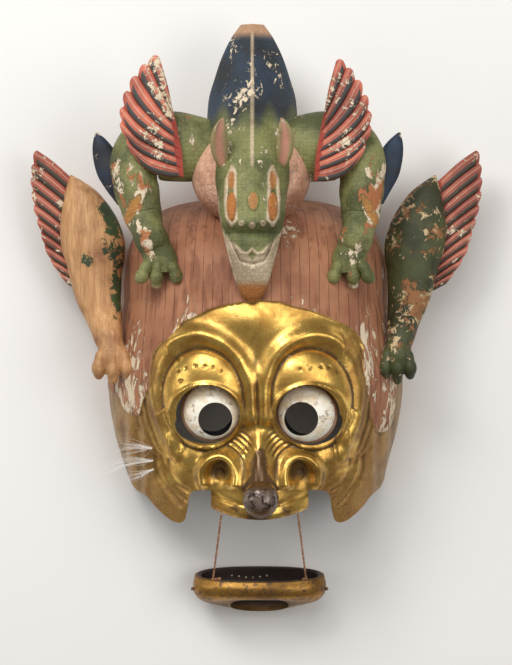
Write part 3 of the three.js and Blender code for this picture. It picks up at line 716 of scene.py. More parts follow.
def dirt_and_crease_shade_group():
    """Dirt and painted shade in creases: grooves darken with both, ridges lose the darkening, and slow noise
    varies both; fine specks are dirt.
    """
    def make(tree, given):
        cloud = tree.noise(given["Vector"], 28, 5, 0.6)
        speck = tree.noise(given["Vector"], 420, 3, 0.6)
        # Painted shade in grooves and hollows, mixed with dirt there.
        deep = tree.step(tree.plus(given["Groove"], tree.times(cloud, 0.9)), 0.55, 1.7)
        worn = tree.step(tree.math("SUBTRACT", tree.times(cloud, 1.2), given["Groove"]), 0.85, 1.7)
        darkening = tree.times(tree.step(speck, 0.62, 0.7), 0.5)
        return {"Dirt": tree.math("MAXIMUM", deep, darkening), "Worn": worn, "Cloud": cloud}
    return node_group("Grime, wear and crease shade", {"Vector": (ARROW, None), "Groove": (NUMBER, 0.0)},
                      {"Dirt": NUMBER, "Worn": NUMBER, "Cloud": NUMBER}, make)


def grain_group():
    """Wood grain: bands along y bent by noise, with fine pores stretched the same way."""
    def make(tree, given):
        long = tree.stretch(given["Vector"], (1, 0.08, 1))
        bands = tree.noise(long, 260, 4, 0.6, 0.4)
        pores = tree.noise(long, 1400, 2, 0.5)
        value = tree.plus(tree.times(bands, 0.7), tree.times(pores, 0.3))
        return {"Grain": tree.step(value, 0.35, 0.68), "Height": value}
    return node_group("Wood grain", {"Vector": (ARROW, None)}, {"Grain": NUMBER, "Height": NUMBER}, make)


def scales_group():
    """Reptile scales: rounded cells with a dark seam, each a low dome."""
    def make(tree, given):
        cell = tree.add("ShaderNodeTexVoronoi", {"Vector": given["Vector"], "Scale": given["Scale"],
                                                 "Randomness": 0.45},
                        feature="DISTANCE_TO_EDGE").outputs["Distance"]
        return {"Seam": tree.step(cell, 0.10, 0.02), "Height": tree.step(cell, 0.0, 0.28)}
    return node_group("Scales", {"Vector": (ARROW, None), "Scale": (NUMBER, 200.0)},
                      {"Seam": NUMBER, "Height": NUMBER}, make)


def srgb(*values):
    """Linear colour for a colour read as 0 to 255."""
    return tuple(((v / 255 + 0.055) / 1.055) ** 2.4 if v > 10 else v / 255 / 12.92 for v in values)


CREAM, BROWN_HOOD, HOOD_LINE = srgb(226, 208, 178), srgb(180, 126, 94), srgb(60, 34, 28)
# The third gold is darker, for tarnish and for painted shade on the face's sides.
GOLD, GOLD_SECOND, GOLD_TARNISH_AND_SHADE, GOLD_DARK = srgb(236, 194, 102), srgb(196, 148, 72), srgb(134, 96,
                                                                                        54), srgb(54, 34, 18)
WOOD, INSIDE_DARK, INSIDE_WOOD = srgb(156, 112, 74), srgb(44, 30, 22), srgb(74, 52, 36)
GREEN, GREEN_DARK, BLUE = srgb(138, 138, 86), srgb(40, 46, 28), srgb(48, 62, 78)


def shell_finish():
    made, tree, shader = new_finish("gilding_and_hood_paint")
    here = tree.here()
    read = {name: tree.read(name) for name in ("gilding", "groove", "hollow", "inside", "nose_dark",
                                               "lip_dark",
                                               "strand", "pricks", "outer", "nose_ball")}
    ragged = tree.times(tree.math("SUBTRACT", tree.noise(here, 260, 4, 0.6), 0.5), 2.2)
    border = tree.step(tree.plus(read["gilding"], ragged), -0.35, 0.35)

    # How deep each point lies in the carving: it darkens grooves and hollows as painted shade together with
    # dirt.
    cut = tree.plus(tree.times(read["groove"], 0.95),
                    tree.times(read["hollow"], 0.28))
    dirt_and_shade = group_node(tree, dirt_and_crease_shade_group(), {"Vector": here, "Groove": cut})
    cloud = dirt_and_shade.outputs["Cloud"]
    darkening = dirt_and_shade.outputs["Dirt"]

    leaf = tree.noise(here, 75, 6, 0.62, 0.5)
    gold = tree.mix(tree.step(leaf, 0.36, 0.66), GOLD, GOLD_SECOND)
    # Tarnish noise, plus painted shade on the outer sides and lower corners, darkens the gold there.
    tarnish_and_side_shade = tree.plus(tree.times(tree.noise(here, 38, 7, 0.68, 0.6), 1.0),
                      tree.times(read["outer"], 0.36))
    gold = tree.mix(tree.times(tree.step(tarnish_and_side_shade, 0.46, 0.74), 0.75), gold, GOLD_TARNISH_AND_SHADE)
    speckle = tree.plus(tree.noise(here, 620, 5, 0.75), tree.times(tarnish_and_side_shade, 0.16))
    gold = tree.mix(tree.times(tree.step(speckle, 0.70, 0.76), 0.8), gold, GOLD_DARK)
    # Painted shade and dirt in the grooves and hollows, together with the dark specks.
    gold = tree.mix(tree.times(darkening, 0.85), gold, GOLD_DARK)
    dark = tree.math("MAXIMUM", read["nose_dark"], tree.times(read["lip_dark"], 0.6))
    rub = tree.plus(dark, tree.math("MULTIPLY",
                                    tree.math("SUBTRACT", tree.noise(here, 110, 6, 0.7), 0.5), 1.2))
    rub = tree.step(rub, 0.42, 0.78)
    gold = tree.mix(tree.times(rub, 0.9), gold, srgb(74, 46, 34))
    silver = tree.mix(tree.step(tree.noise(here, 170, 6, 0.7, 0.5), 0.42, 0.6), srgb(132, 114, 102),
                      srgb(48, 32, 26))
    gold = tree.mix(read["nose_ball"], gold, silver)
    gold = tree.mix(tree.times(read["pricks"], 0.7), gold, srgb(88, 62, 24))

    line = tree.math("ABSOLUTE", tree.math("SINE",
                                           tree.plus(tree.times(read["strand"], 2.15),
                                                             tree.times(tree.noise(here, 9, 2),
                                                                        2.4))))
    line = tree.times(tree.step(line, 0.15, 0.05), tree.step(tree.noise(here, 60, 3), 0.36, 0.5))
    hood = tree.mix(tree.step(cloud, 0.35, 0.7), BROWN_HOOD, srgb(154, 102, 77))
    hood = tree.mix(tree.times(tree.step(tree.noise(tree.stretch(here, (1, 0.12, 1)), 150, 4),
                                         0.5, 0.66), 0.5),
                    hood, srgb(112, 68, 50))
    hood = tree.mix(tree.times(line, 0.75), hood, HOOD_LINE)
    tall = tree.stretch(here, (1, 0.34, 1))
    near = tree.step(read["gilding"], -16, -1)
    sides = tree.times(read["outer"], 0.075)
    bias = tree.plus(tree.times(near, 0.04), sides)
    lost = group_node(tree, flaking_group(), {"Vector": tall, "Patch Scale": 34.0, "Chip Scale": 190.0,
                                              "Amount": 0.315, "Bias": bias})
    hood = tree.mix(tree.times(lost.outputs["Edge"], 0.6), hood, HOOD_LINE)
    hood = tree.mix(lost.outputs["Lost"], hood, CREAM)

    grain = group_node(tree, grain_group(), {"Vector": here})
    bare = tree.mix(grain.outputs["Grain"], INSIDE_DARK, INSIDE_WOOD)
    colour = tree.mix(border, hood, gold)
    colour = tree.mix(read["inside"], colour, bare)
    tree.join(shader.inputs["Base Color"], colour)

    painted = tree.rest(read["inside"])
    clean = tree.rest(tree.times(dirt_and_shade.outputs["Dirt"], 0.75))
    shine = tree.times(tree.times(border, painted), clean)
    shine = tree.times(shine, tree.rest(tree.times(rub, 0.6)))
    shine = tree.times(shine, tree.math("SUBTRACT", 1.0,
                                        tree.times(read["outer"], 0.45)))
    tree.join(shader.inputs["Metallic"], tree.times(shine, 0.9))
    tree.join(shader.inputs["Specular IOR Level"], tree.blend(border, 0.16, 0.4))
    rough = tree.blend(border, 0.5, tree.step(leaf, 0.3, 0.7, 0.24, 0.36))
    rough = tree.plus(rough, tree.times(tree.step(tarnish_and_side_shade, 0.46, 0.8), 0.08))
    rough = tree.blend(rub, rough, 0.24)
    rough = tree.blend(read["nose_ball"], rough, 0.13)
    rough = tree.blend(read["inside"], rough, 0.8)
    tree.join(shader.inputs["Roughness"], rough)

    fine = tree.noise(here, 700, 4, 0.6)
    height = tree.times(fine, 0.10)
    height = tree.math("SUBTRACT", height, tree.times(read["pricks"], 0.6))
    height = tree.plus(height, tree.times(tree.noise(here, 60, 4), 0.35))
    height = tree.math("SUBTRACT", height, tree.times(tree.rest(border),
                                                      tree.times(lost.outputs["Lost"], 0.3)))
    tree.relief(shader, height, 0.7)
    return made


def group_node(tree, group, given):
    node = tree.add("ShaderNodeGroup", node_tree=group)
    for key, value in given.items():
        tree.join(node.inputs[key], value)
    return node


def flaked_paint(name, paint, ground=CREAM, amount=0.27, chip=190.0, patch=34.0, scales=None, extra_bias=None,
                 stretch=(1, 1, 1), roughness=0.55, under=None):
    """Old paint on carved wood: paint(tree) is its colour, chips show the pale ground or bare wood under
    it."""
    made, tree, shader = new_finish(name)
    here = tree.here()
    cut = tree.read("groove")
    dirt_and_shade = group_node(tree, dirt_and_crease_shade_group(), {"Vector": here, "Groove": cut})
    colour = paint(tree, here, dirt_and_shade.outputs["Cloud"])
    height = tree.times(tree.noise(here, 600, 4), 0.12)
    if scales:
        skin = group_node(tree, scales_group(), {"Vector": here, "Scale": scales})
        colour = tree.mix(tree.times(skin.outputs["Seam"], 0.22), colour, GREEN_DARK)
        height = tree.plus(height, tree.times(skin.outputs["Height"], 0.28))
    bias = tree.times(cut, -0.05)
    if extra_bias:
        bias = tree.plus(bias, extra_bias(tree))
    lost = group_node(tree, flaking_group(), {"Vector": tree.stretch(here, stretch), "Patch Scale": patch,
                                              "Chip Scale": chip, "Amount": amount, "Bias": bias})
    colour = tree.mix(tree.times(tree.step(dirt_and_shade.outputs["Cloud"], 0.4, 0.62), 0.3), colour,
                      srgb(58, 50, 34))
    # Darker in carved grooves and between feathers: painted shade together with dirt.
    colour = tree.mix(tree.times(dirt_and_shade.outputs["Dirt"], 0.7), colour, srgb(34, 28, 22))
    below = ground
    if under:
        below = tree.mix(tree.step(tree.noise(here, 70, 3), 0.45, 0.55), ground, under)
    colour = tree.mix(tree.times(lost.outputs["Edge"], 0.5), colour, srgb(60, 46, 36))
    colour = tree.mix(lost.outputs["Lost"], colour, below)
    tree.join(shader.inputs["Base Color"], colour)
    tree.join(shader.inputs["Roughness"], tree.blend(lost.outputs["Lost"], roughness, 0.75))
    height = tree.math("SUBTRACT", height, tree.times(lost.outputs["Lost"], 0.4))
    tree.relief(shader, height, 0.7)
    shader.inputs["Specular IOR Level"].default_value = 0.35
    return made


# Eyes

def eye_middle(word):
    eye = EYES[word]
    x, y = opening_middle(eye["side"])
    return np.array([x + eye["drift"][0], y + eye["drift"][1], EYE_Z])


def build_eye(word):
    """A hollow ball open behind, as a profile turned about z: an outer and an inner arc; its pupil is
    cut through."""
    middle = eye_middle(word)

    def arc(radius, count):
        turn = np.linspace(0.02, math.acos(-EYE_BACK / radius), count)
        return np.column_stack([radius * np.sin(turn), radius * np.cos(turn)])

    profile = np.vstack([arc(EYE_RADIUS, 56), arc(EYE_RADIUS - EYE_WALL, 40)[::-1]]) * [1, EYE_FLATNESS]
    turn = np.linspace(0, 2 * np.pi, 120, endpoint=False)
    rows = np.stack([np.outer(np.cos(turn), profile[:, 0]), np.outer(np.sin(turn), profile[:, 0]),
                     np.repeat(profile[None, :, 1], 120, 0)], -1)
    ball = mesh_object(f"eye_{word}", *ring_solid(rows + middle))
    dx, dy = EYES[word]["pupil"]
    tool = cylinder_grid(PUPIL_RADIUS, PUPIL_RADIUS, middle[0] + dx, middle[1] + dy, EYE_Z, EYE_Z + 40, 120)
    combine(ball, mesh_object("pupil_tool", *tool), "DIFFERENCE")
    soften(ball.data, 38)
    at = places(ball) - middle
    put(ball, "rim", np.hypot(at[:, 0], at[:, 1]))
    put(ball, "inside", (np.linalg.norm(at / [1, 1, EYE_FLATNESS], axis=1) < EYE_RADIUS - 0.6).astype(float))
    ball.data.materials.append(eye_finish())
    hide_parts(f"eyeball_{word}")
    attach(ball, f"eye_{word}")
    return ball


def eye_finish():
    if "eye_paint" in bpy.data.materials:
        return bpy.data.materials["eye_paint"]
    made, tree, shader = new_finish("eye_paint")
    here, rim, inside = tree.here(), tree.read("rim"), tree.read("inside")
    cloud = tree.noise(here, 90, 6, 0.65, 0.8)
    white = tree.mix(tree.step(cloud, 0.4, 0.66), srgb(255, 250, 234), srgb(236, 214, 178))
    white = tree.mix(tree.times(tree.step(tree.noise(here, 160, 5, 0.7), 0.55, 0.64), 0.7), white,
                     srgb(150, 120, 88))
    white = tree.mix(tree.step(rim, 21.4, 22.4), white, srgb(216, 180, 148))
    red = tree.times(tree.step(rim, 21.6, 21.9), tree.step(rim, 22.7, 22.4))
    white = tree.mix(tree.times(red, 0.65), white, srgb(150, 62, 54))
    colour = tree.mix(inside, white, srgb(20, 14, 12))
    tree.join(shader.inputs["Base Color"], colour)
    tree.join(shader.inputs["Roughness"], tree.blend(inside, tree.step(cloud, 0.3, 0.7, 0.28, 0.5), 0.9))
    height = tree.plus(tree.times(cloud, 0.3),
                       tree.times(tree.noise(here, 600, 3), 0.1))
    tree.relief(shader, height, 0.5)
    return made


# Jaw and cords

JAW_Y = -MOUTH_EDGE - 23 - JAW_DROP
JAW_Z = JAW_DEPTH / 2


def jaw_profile():
    """Rows round the bowl's wall: share of the way down, half-width, half-depth, and how far the front
    drops."""
    half = JAW_DEPTH / 2
    outer = [(0, JAW_HALF_WIDTH - 1.5, half - 1.5, -4.3), (0.3, JAW_HALF_WIDTH, half, -2),
             (0.6, JAW_HALF_WIDTH - 2, half - 2, 0.5), (0.82, JAW_HALF_WIDTH - 10, half - 8, 3),
             (0.92, JAW_SLOT, 9, 5.5)]
    inner = [(0.9 * s + 0.02, max(w - JAW_WALL, JAW_SLOT - 1), max(d - JAW_WALL, 8), t)
             for s, w, d, t in outer[:-1][::-1]]
    down = resample(outer, 40)
    up = resample(inner, 30)
    lip = resample([down[-1], (down[-1] + up[0]) / 2 + [0.01, 0, 0, 0], up[0]], 5)[1:-1]
    brim = resample([up[-1], (up[-1] + down[0]) / 2 + [-0.045, 0, 0, 0], down[0]], 7)[1:-1]
    return np.vstack([down, lip, up, brim]), len(down)


def build_jaw():
    profile, outer_rows = jaw_profile()
    turn = np.linspace(0, 2 * np.pi, 260, endpoint=False)
    c = np.sign(np.cos(turn)) * np.abs(np.cos(turn)) ** JAW_SQUARENESS
    s = np.sign(np.sin(turn)) * np.abs(np.sin(turn)) ** JAW_SQUARENESS
    share, wide, deep, tilt = profile.T
    x = NOSE_SHIFT + np.outer(c, wide)
    y = JAW_Y + JAW_HEIGHT * (0.5 - share) + np.outer(s, tilt)
    z = JAW_Z + np.outer(s, deep)
    jaw = mesh_object("lower_jaw", *ring_solid(np.stack([x, y, z], -1)))
    inside = np.tile(ease(np.arange(len(profile)), outer_rows - 1, outer_rows + 3)
                     * (1 - ease(np.arange(len(profile)), len(profile) - 4, len(profile) - 1)), 260)
    put(jaw, "inside", inside)
    # Groove values given by row: negative at the rim rows, so the rim stays clean gold, and positive in a
    # band where the outer wall turns in at the bottom, which comes out darker.
    edge = np.tile(bump(np.minimum(np.abs(np.arange(len(profile)) - 0), np.abs(np.arange(len(profile))
                                                                               - len(profile))), 3.0), 260)
    put(jaw, "groove", -edge + np.tile(bump(np.arange(len(profile)) - outer_rows + 2, 5.0) * 0.8, 260))
    jaw.data.materials.append(jaw_finish())
    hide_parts("jaw")
    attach(jaw, "jaw")
    build_jaw_fittings()
    return jaw


def jaw_finish():
    made, tree, shader = new_finish("jaw_gilding")
    here, inside = tree.here(), tree.read("inside")
    dirt_and_shade = group_node(tree, dirt_and_crease_shade_group(), {"Vector": here, "Groove": tree.read("groove")})
    cloud = dirt_and_shade.outputs["Cloud"]
    gold = tree.mix(tree.step(cloud, 0.36, 0.66), srgb(178, 132, 62), srgb(126, 90, 44))
    rub = tree.step(tree.noise(here, 210, 8, 0.78, 0.4), 0.5, 0.6)
    gold = tree.mix(tree.times(rub, 0.85), gold, srgb(62, 40, 24))
    gold = tree.mix(tree.times(dirt_and_shade.outputs["Dirt"], 0.7), gold, GOLD_DARK)
    lacquer = tree.mix(tree.step(cloud, 0.4, 0.7), srgb(34, 22, 18), srgb(58, 36, 26))
    tree.join(shader.inputs["Base Color"], tree.mix(inside, gold, lacquer))
    shine = tree.times(tree.rest(inside), tree.rest(tree.math(
        "MAXIMUM", tree.times(rub, 0.7), dirt_and_shade.outputs["Dirt"])))
    tree.join(shader.inputs["Metallic"], tree.times(shine, 0.8, True))
    tree.join(shader.inputs["Roughness"], tree.blend(inside, tree.step(cloud, 0.3, 0.7, 0.34, 0.5), 0.45))
    height = tree.plus(tree.times(tree.noise(here, 90, 4), 0.5),
                       tree.times(tree.noise(here, 700, 3), 0.1))
    tree.relief(shader, height, 0.6)
    return made


def small_solids(name, balls):
    """One mesh of several small ellipsoids, each given by its middle and three radii."""
    points, groups, start = [], {}, 0
    for middle, radii in balls:
        p, faces = sphere_grid(radii, middle, 12, 7)
        points.append(p)
        for group in faces:
            groups.setdefault(group.shape[1], []).append(group + start)
        start += len(p)
    return mesh_object(name, np.vstack(points), [np.vstack(g) for g in groups.values()])


def plain_paint(name, colour, second, roughness=0.55):
    made, tree, shader = new_finish(name)
    here = tree.here()
    cloud = tree.noise(here, 400, 5, 0.6)
    tree.join(shader.inputs["Base Color"], tree.mix(tree.step(cloud, 0.4, 0.62), colour, second))
    shader.inputs["Roughness"].default_value = roughness
    tree.relief(shader, cloud, 0.4, 0.0005)
    return made


def build_jaw_fittings():
    pegs = [((-30 + 5.6 * k, JAW_Y + 10.2 + 0.9 * math.sin(k), 7.2 - 0.25 * k),
             (0.9, 0.9, 0.8)) for k in range(8)]
    teeth = small_solids("jaw_pegs", pegs)
    teeth.data.materials.append(plain_paint("peg_bone", srgb(206, 192, 168), srgb(150, 130, 104)))
    pins = [((NOSE_SHIFT + side * (JAW_HALF_WIDTH + 0.3), JAW_Y + 2.5, JAW_Z + 5),
             (1.5, 1.4, 1.4)) for side in (-1, 1)]
    pin = small_solids("jaw_pins", pins)
    pin.data.materials.append(plain_paint("pin_brown", srgb(120, 84, 46), srgb(70, 46, 28)))
    for piece in (teeth, pin):
        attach(piece, "jaw")


def cord_ends(side):
    share = (CORD_AT_LIP / 2) / LIP_HALF_WIDTH
    turn = math.acos(((CORD_AT_JAW / 2) / (JAW_HALF_WIDTH - 1.5 - JAW_WALL / 2)) ** (1 / JAW_SQUARENESS))
    rise = math.sin(turn) ** JAW_SQUARENESS
    lip = (NOSE_SHIFT + side * CORD_AT_LIP / 2, -lip_bottom(share) - FIT_GAP - 0.9,
           float(lip_z(share)) - LIP_THICKNESS / 2)
    jaw = (NOSE_SHIFT + side * CORD_AT_JAW / 2, JAW_Y + JAW_HEIGHT / 2 - 4.3 * rise + FIT_GAP + 1.2,
           JAW_Z + (JAW_DEPTH / 2 - 1.5 - JAW_WALL / 2) * rise)
    return np.array(lip), np.array(jaw)


def build_cord(word):
    """A straight two-ply cord: a tube whose radius swells twice round, and the swelling turns along it."""
    start, end = cord_ends(-1 if word == "left" else 1)
    length = np.linalg.norm(end - start)
    count, sides = 140, 16
    share = np.linspace(0, 1, count)
    path = start + (end - start) * share[:, None]
    along = (end - start) / length
    across = np.cross(along, [0, 0, 1])
    across /= np.linalg.norm(across)
    out = np.cross(along, across)
    turn = np.linspace(0, 2 * np.pi, sides, endpoint=False)
    twist = share[:, None] * length * 2 * np.pi / 5.0
    radius = CORD_DIAMETER / 2 * (0.72 + 0.28 * np.abs(np.cos(turn - twist / 2)))
    rings = path[:, None] + radius[..., None] * (np.cos(turn)[:, None] * across + np.sin(turn)[:, None] * out)
    cord = mesh_object(f"twisted_cord_{word}", *loft(rings), smooth_angle=80)
    cord.data.materials.append(cord_finish())
    knot_middle = end + [3.2 if word == "left" else -1.5, -1.2, -3.2]
    knot = small_solids(f"cord_knot_{word}", [(knot_middle, (2.1, 1.7, 1.9)), (knot_middle + [1.6, 0.9, 0.4],
                                                                                (1.5, 1.2, 1.4)),
                                              (end + [0, -0.4, -0.9], (1.3, 1.2, 1.6)),
                                              ((end + knot_middle) / 2, (2.0, 1.0, 1.6))])
    knot.data.materials.append(cord_finish())
    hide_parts(f"jaw_cord_{word}")
    for piece in (cord, knot):
        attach(piece, "jaw")
    tuple(to_frame(start))
    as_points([tuple(p) for p in to_frame(path[::7])] + [tuple(to_frame(end))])
    return cord


def cord_finish():
    if "cord_fibre" in bpy.data.materials:
        return bpy.data.materials["cord_fibre"]
    return plain_paint("cord_fibre", srgb(196, 146, 106), srgb(140, 92, 62), 0.85)


# Dragon

BODY = [(237, 9, 66, 54, 1.2), (226, 16.5, 74, 54, 1.2), (210, 24, 84, 54, 1.2), (193, 29.5, 95, 55, 1.25),
        (179, 33.4, 103, 56, 1.3), (164, 34.8, 111, 60, 1.45), (148, 35, 119, 64, 1.7),
        (132, 32.8, 127, 71, 1.9),
        (115, 29.2, 135, 84, 2.1), (103, 26.7, 140, 96, 2.3), (90, 25.4, 144, 104, 2.4),
        (80, 24, 145, 109, 2.4),
        (73, 22.4, 140, 110, 2.4), (60, 19.3, 138, 113, 2.2), (47, 16, 134, 115, 2), (33, 11.9, 128, 116, 2),
        (25, 8.4, 125, 117, 2), (20, 3, 121, 118, 2)]
EYE_LOOP = [(15.4, 122.5), (19.2, 112.4), (20.2, 97), (19.2, 84), (15.4, 77.5), (12, 82), (12.6, 92),
            (13.0, 107),
            (12.8, 117.5), (15.4, 122.5)]
MOUSTACHE = [(-12, 61), (-9, 57), (-4, 56), (0, 59.5), (4, 56), (9, 57), (12, 61)]
MOUTH_LINE = [(-16, 66), (-9, 51), (0, 48.5), (9, 51), (16, 66)]


def dragon_carving(s, y):
    """Height of the head's carving: loops round the eyes, almond bulges, nose curls, a snout step,
    moustache."""
    side = np.abs(s)
    loop = 2.0 * bump(distance_to(EYE_LOOP, side, y), 1.7)
    eye = 3.6 * np.sqrt(np.clip(1 - ((side - 15.6) / 3.6) ** 2 - ((y - 92) / 11) ** 2, 0, 1))
    upper = 1.6 * np.sqrt(np.clip(1 - ((side - 15.8) / 2.8) ** 2 - ((y - 112) / 7.5) ** 2, 0, 1))
    pad = 2.6 * bump(np.hypot(s * 0.9, y - 77.5), 3.6)
    curls = 2.4 * bump(np.hypot(side - 8.2, y - 79), 3.4) - 1.4 * bump(np.hypot(side - 8.4, y - 78.6), 1.3)
    snout = 1.8 * bump(side, 7) * ease(y, 74, 84) * (1 - ease(y, 118, 128))
    oval = 1.4 * ease(1 - ((s - 0.8) / 4.6) ** 2 - ((y - 96) / 8.5) ** 2, 0, 0.35)
    step = -3.4 * bump(y - 71.5, 3.0) * (1 - ease(side, 17, 22))
    moustache = 1.8 * bump(distance_to(MOUSTACHE, s, y), 1.5)
    mouth = -1.6 * bump(distance_to(MOUTH_LINE, s, y), 1.2)
    nape = 1.6 * bump(side, 2.4) * ease(y, 126, 136) * (1 - ease(y, 226, 236))
    wrinkle = 0.7 * np.cos((y - 120) * 1.0) * bump(side - 6, 5) * ease(y, 122, 126) * (1 - ease(y, 134, 140))
    return loop + eye + upper + pad + curls + snout + oval + step + moustache + mouth + nape + wrinkle


def build_dragon_body():
    """Head, neck and back as rings across the body; the front half swells as a superellipse and carries
    the carving."""
    rows, sides = 330, 220
    y, wide, front, back, power = resample(BODY, rows).T
    turn = np.linspace(0, 2 * np.pi, sides, endpoint=False)
    middle = back + (front - back) * 0.45
    s = wide[:, None] * np.cos(turn)
    share = np.abs(np.cos(turn))
    rise = (1 - share[None] ** power[:, None]) ** (1 / np.maximum(1, power[:, None]))
    up = np.sin(turn)[None] >= 0
    z = np.where(up, middle[:, None] + (front - middle)[:, None] * rise,
                 middle[:, None] - (middle - back)[:, None] * np.abs(np.sin(turn)))
    ys = np.repeat(y[:, None], sides, 1)
    z = z + np.where(up, dragon_carving(s, ys) * ease(np.sin(turn)[None] * np.ones_like(s), 0.12, 0.45), 0)
    body = mesh_object("dragon_body_and_head", *loft(np.stack([DRAGON_SHIFT + s, ys, z], -1)))
    at = places(body)
    side_of = at[:, 0] - DRAGON_SHIFT
    put(body, "groove", hollowness(side_of, at[:, 1], dragon_carving, 1.6))
    side = np.abs(side_of)
    loop = ease(bump(distance_to(EYE_LOOP, side, at[:, 1]), 1.5), 0.35, 0.6)
    beak = ease(-(at[:, 1] - 54 - 0.9 * side), 0, 4)
    ridge = ease(bump(side, 1.5), 0.4, 0.7) * ease(at[:, 1], 120, 126)
    pale = np.maximum.reduce([loop, beak, 0.8 * ridge,
                              ease(bump(np.hypot(side_of, at[:, 1] - 77.5), 3), 0.4, 0.6),
                              ease(bump(distance_to(MOUSTACHE, side_of, at[:, 1]), 1.4), 0.4, 0.6),
                              ease(bump(np.hypot(side - 8.2, at[:, 1] - 79), 3), 0.5, 0.7)])
    put(body, "pale", pale)
    amber = np.maximum.reduce([ease(1 - ((side - 15.6) / 3.8) ** 2 - ((at[:, 1] - 92) / 11.5) ** 2, 0, 0.2),
                               0.8 * ease(1 - ((side - 15.8) / 2.8) ** 2 - ((at[:, 1] - 112) / 7.5) ** 2, 0,
                                          0.2),
                               0.75 * ease(1 - ((side_of - 0.8) / 3.6) ** 2 - ((at[:, 1] - 96) / 7) ** 2, 0,
                                           0.3),
                               ease(-at[:, 1], -38, -30)])
    put(body, "amber", amber)
    put(body, "edge", ease(side / np.interp(at[:, 1], y[::-1], wide[::-1]), 0.86, 0.99) * ease(-at[:, 1],
                                                                                               -112, -96))
    put(body, "tail_break", ease(at[:, 1], 224, 232))
    put(body, "bluing", ease(at[:, 1] + 6 * np.sin(side_of * 0.35), 152, 172))
    body.data.materials.append(body_finish())
    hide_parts("dragon_body")
    chest = mesh_object("dragon_chest", *sphere_grid((46, 39, 36), (DRAGON_SHIFT - 1, 118, 86), 150, 90))
    trim_to_hood(chest)
    put(chest, "groove", np.zeros(len(chest.data.vertices)))
    chest.data.materials.append(chest_finish())
    for piece in (body, chest):
        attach(piece, "mask")
    for side_sign, word in ((-1, "left"), (1, "right")):
        build_ear(side_sign, word)


def trim_to_hood(obj):
    """Cuts away what would lie inside the hood."""
    combine(obj, hood_solid("hood_tool", 90, 100, grow=FIT_GAP), "DIFFERENCE")
    soften(obj.data, 38)


def build_ear(sign, word):
    """A leaf-shaped ear, hollowed along its front."""
    stations = [(22, 122, 116, 2.5, 2.0), (23.5, 128, 122, 5.0, 3.2), (24.8, 136, 128, 6.6, 3.6),
                (25, 146, 133, 6.2, 3.4), (23.6, 154, 136, 3.6, 2.2), (22, 159, 137, 0.8, 0.8)]
    placed = [(DRAGON_SHIFT + sign * x, y, z, w, h) for x, y, z, w, h in stations]
    hollow = lambda share, turn: -2.6 * ease(np.sin(turn), 0.72, 0.97) * np.sin(share * np.pi)
    points, faces, share, facing = limb(placed, 50, 36, hollow)
    ear = mesh_object(f"dragon_ear_{word}", points, faces)
    put(ear, "groove", np.zeros(len(points)))
    put(ear, "pink", ease(facing, 0.75, 0.92))
    ear.data.materials.append(ear_finish())
    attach(ear, "mask")


def body_finish():
    def paint(tree, here, cloud):
        green = tree.mix(tree.step(cloud, 0.36, 0.66), GREEN, srgb(96, 104, 60))
        blue = tree.mix(tree.step(cloud, 0.4, 0.66), BLUE, srgb(30, 42, 54))
        colour = tree.mix(tree.read("bluing"), green, blue)
        colour = tree.mix(tree.read("pale"), colour, tree.mix(cloud, CREAM, srgb(196, 168, 130)))
        colour = tree.mix(tree.read("amber"), colour, srgb(188, 118, 58))
        return tree.mix(tree.read("tail_break"), colour, srgb(192, 150, 116))
    return flaked_paint("dragon_skin_paint", paint, amount=0.325, chip=230, patch=42, scales=300,
                        extra_bias=lambda tree: tree.times(tree.read("edge"), 0.10),
                        stretch=(1, 0.6, 1))


def chest_finish():
    def paint(tree, here, cloud):
        return tree.mix(tree.step(cloud, 0.4, 0.6), srgb(232, 182, 152), srgb(206, 146, 116))
    return flaked_paint("chest_red_paint", paint, ground=srgb(214, 178, 156), amount=0.36, chip=260,
                        scales=210)


def ear_finish():
    def paint(tree, here, cloud):
        rim = tree.mix(cloud, GREEN, srgb(190, 160, 120))
        return tree.mix(tree.read("pink"), rim, srgb(206, 148, 124))
    return flaked_paint("ear_paint", paint, amount=0.34, chip=240)


PAW = (73.0, 46.0)


def fore_place(side):
    def place(station):
        x, y, *rest = station
        drift = float(through([(45, -0.8), (75, -4), (115, -10.8), (160, -12)], y)) if side > 0 else 0
        return (side * x + drift, y, *rest)
    return place


def merge_limbs(name, parts):
    """One object of several limbs, each stored with its own share along it."""
    points, quads, tris, share, kind, start = [], [], [], [], [], 0
    for index, (p, faces, s, _) in enumerate(parts):
        points.append(p)
        for group in faces:
            (quads if group.shape[1] == 4 else tris).append(group + start)
        share.append(s)
        kind.append(np.full(len(p), index))
        start += len(p)
    obj = mesh_object(name, np.vstack(points), [np.vstack(quads), np.vstack(tris)])
    put(obj, "share", np.concatenate(share))
    put(obj, "kind", np.concatenate(kind))
    put(obj, "groove", np.zeros(start))
    return obj


STRIPE = [(110, 124), (104.5, 106), (99, 93), (91, 79), (83.5, 66), (77.5, 52)]


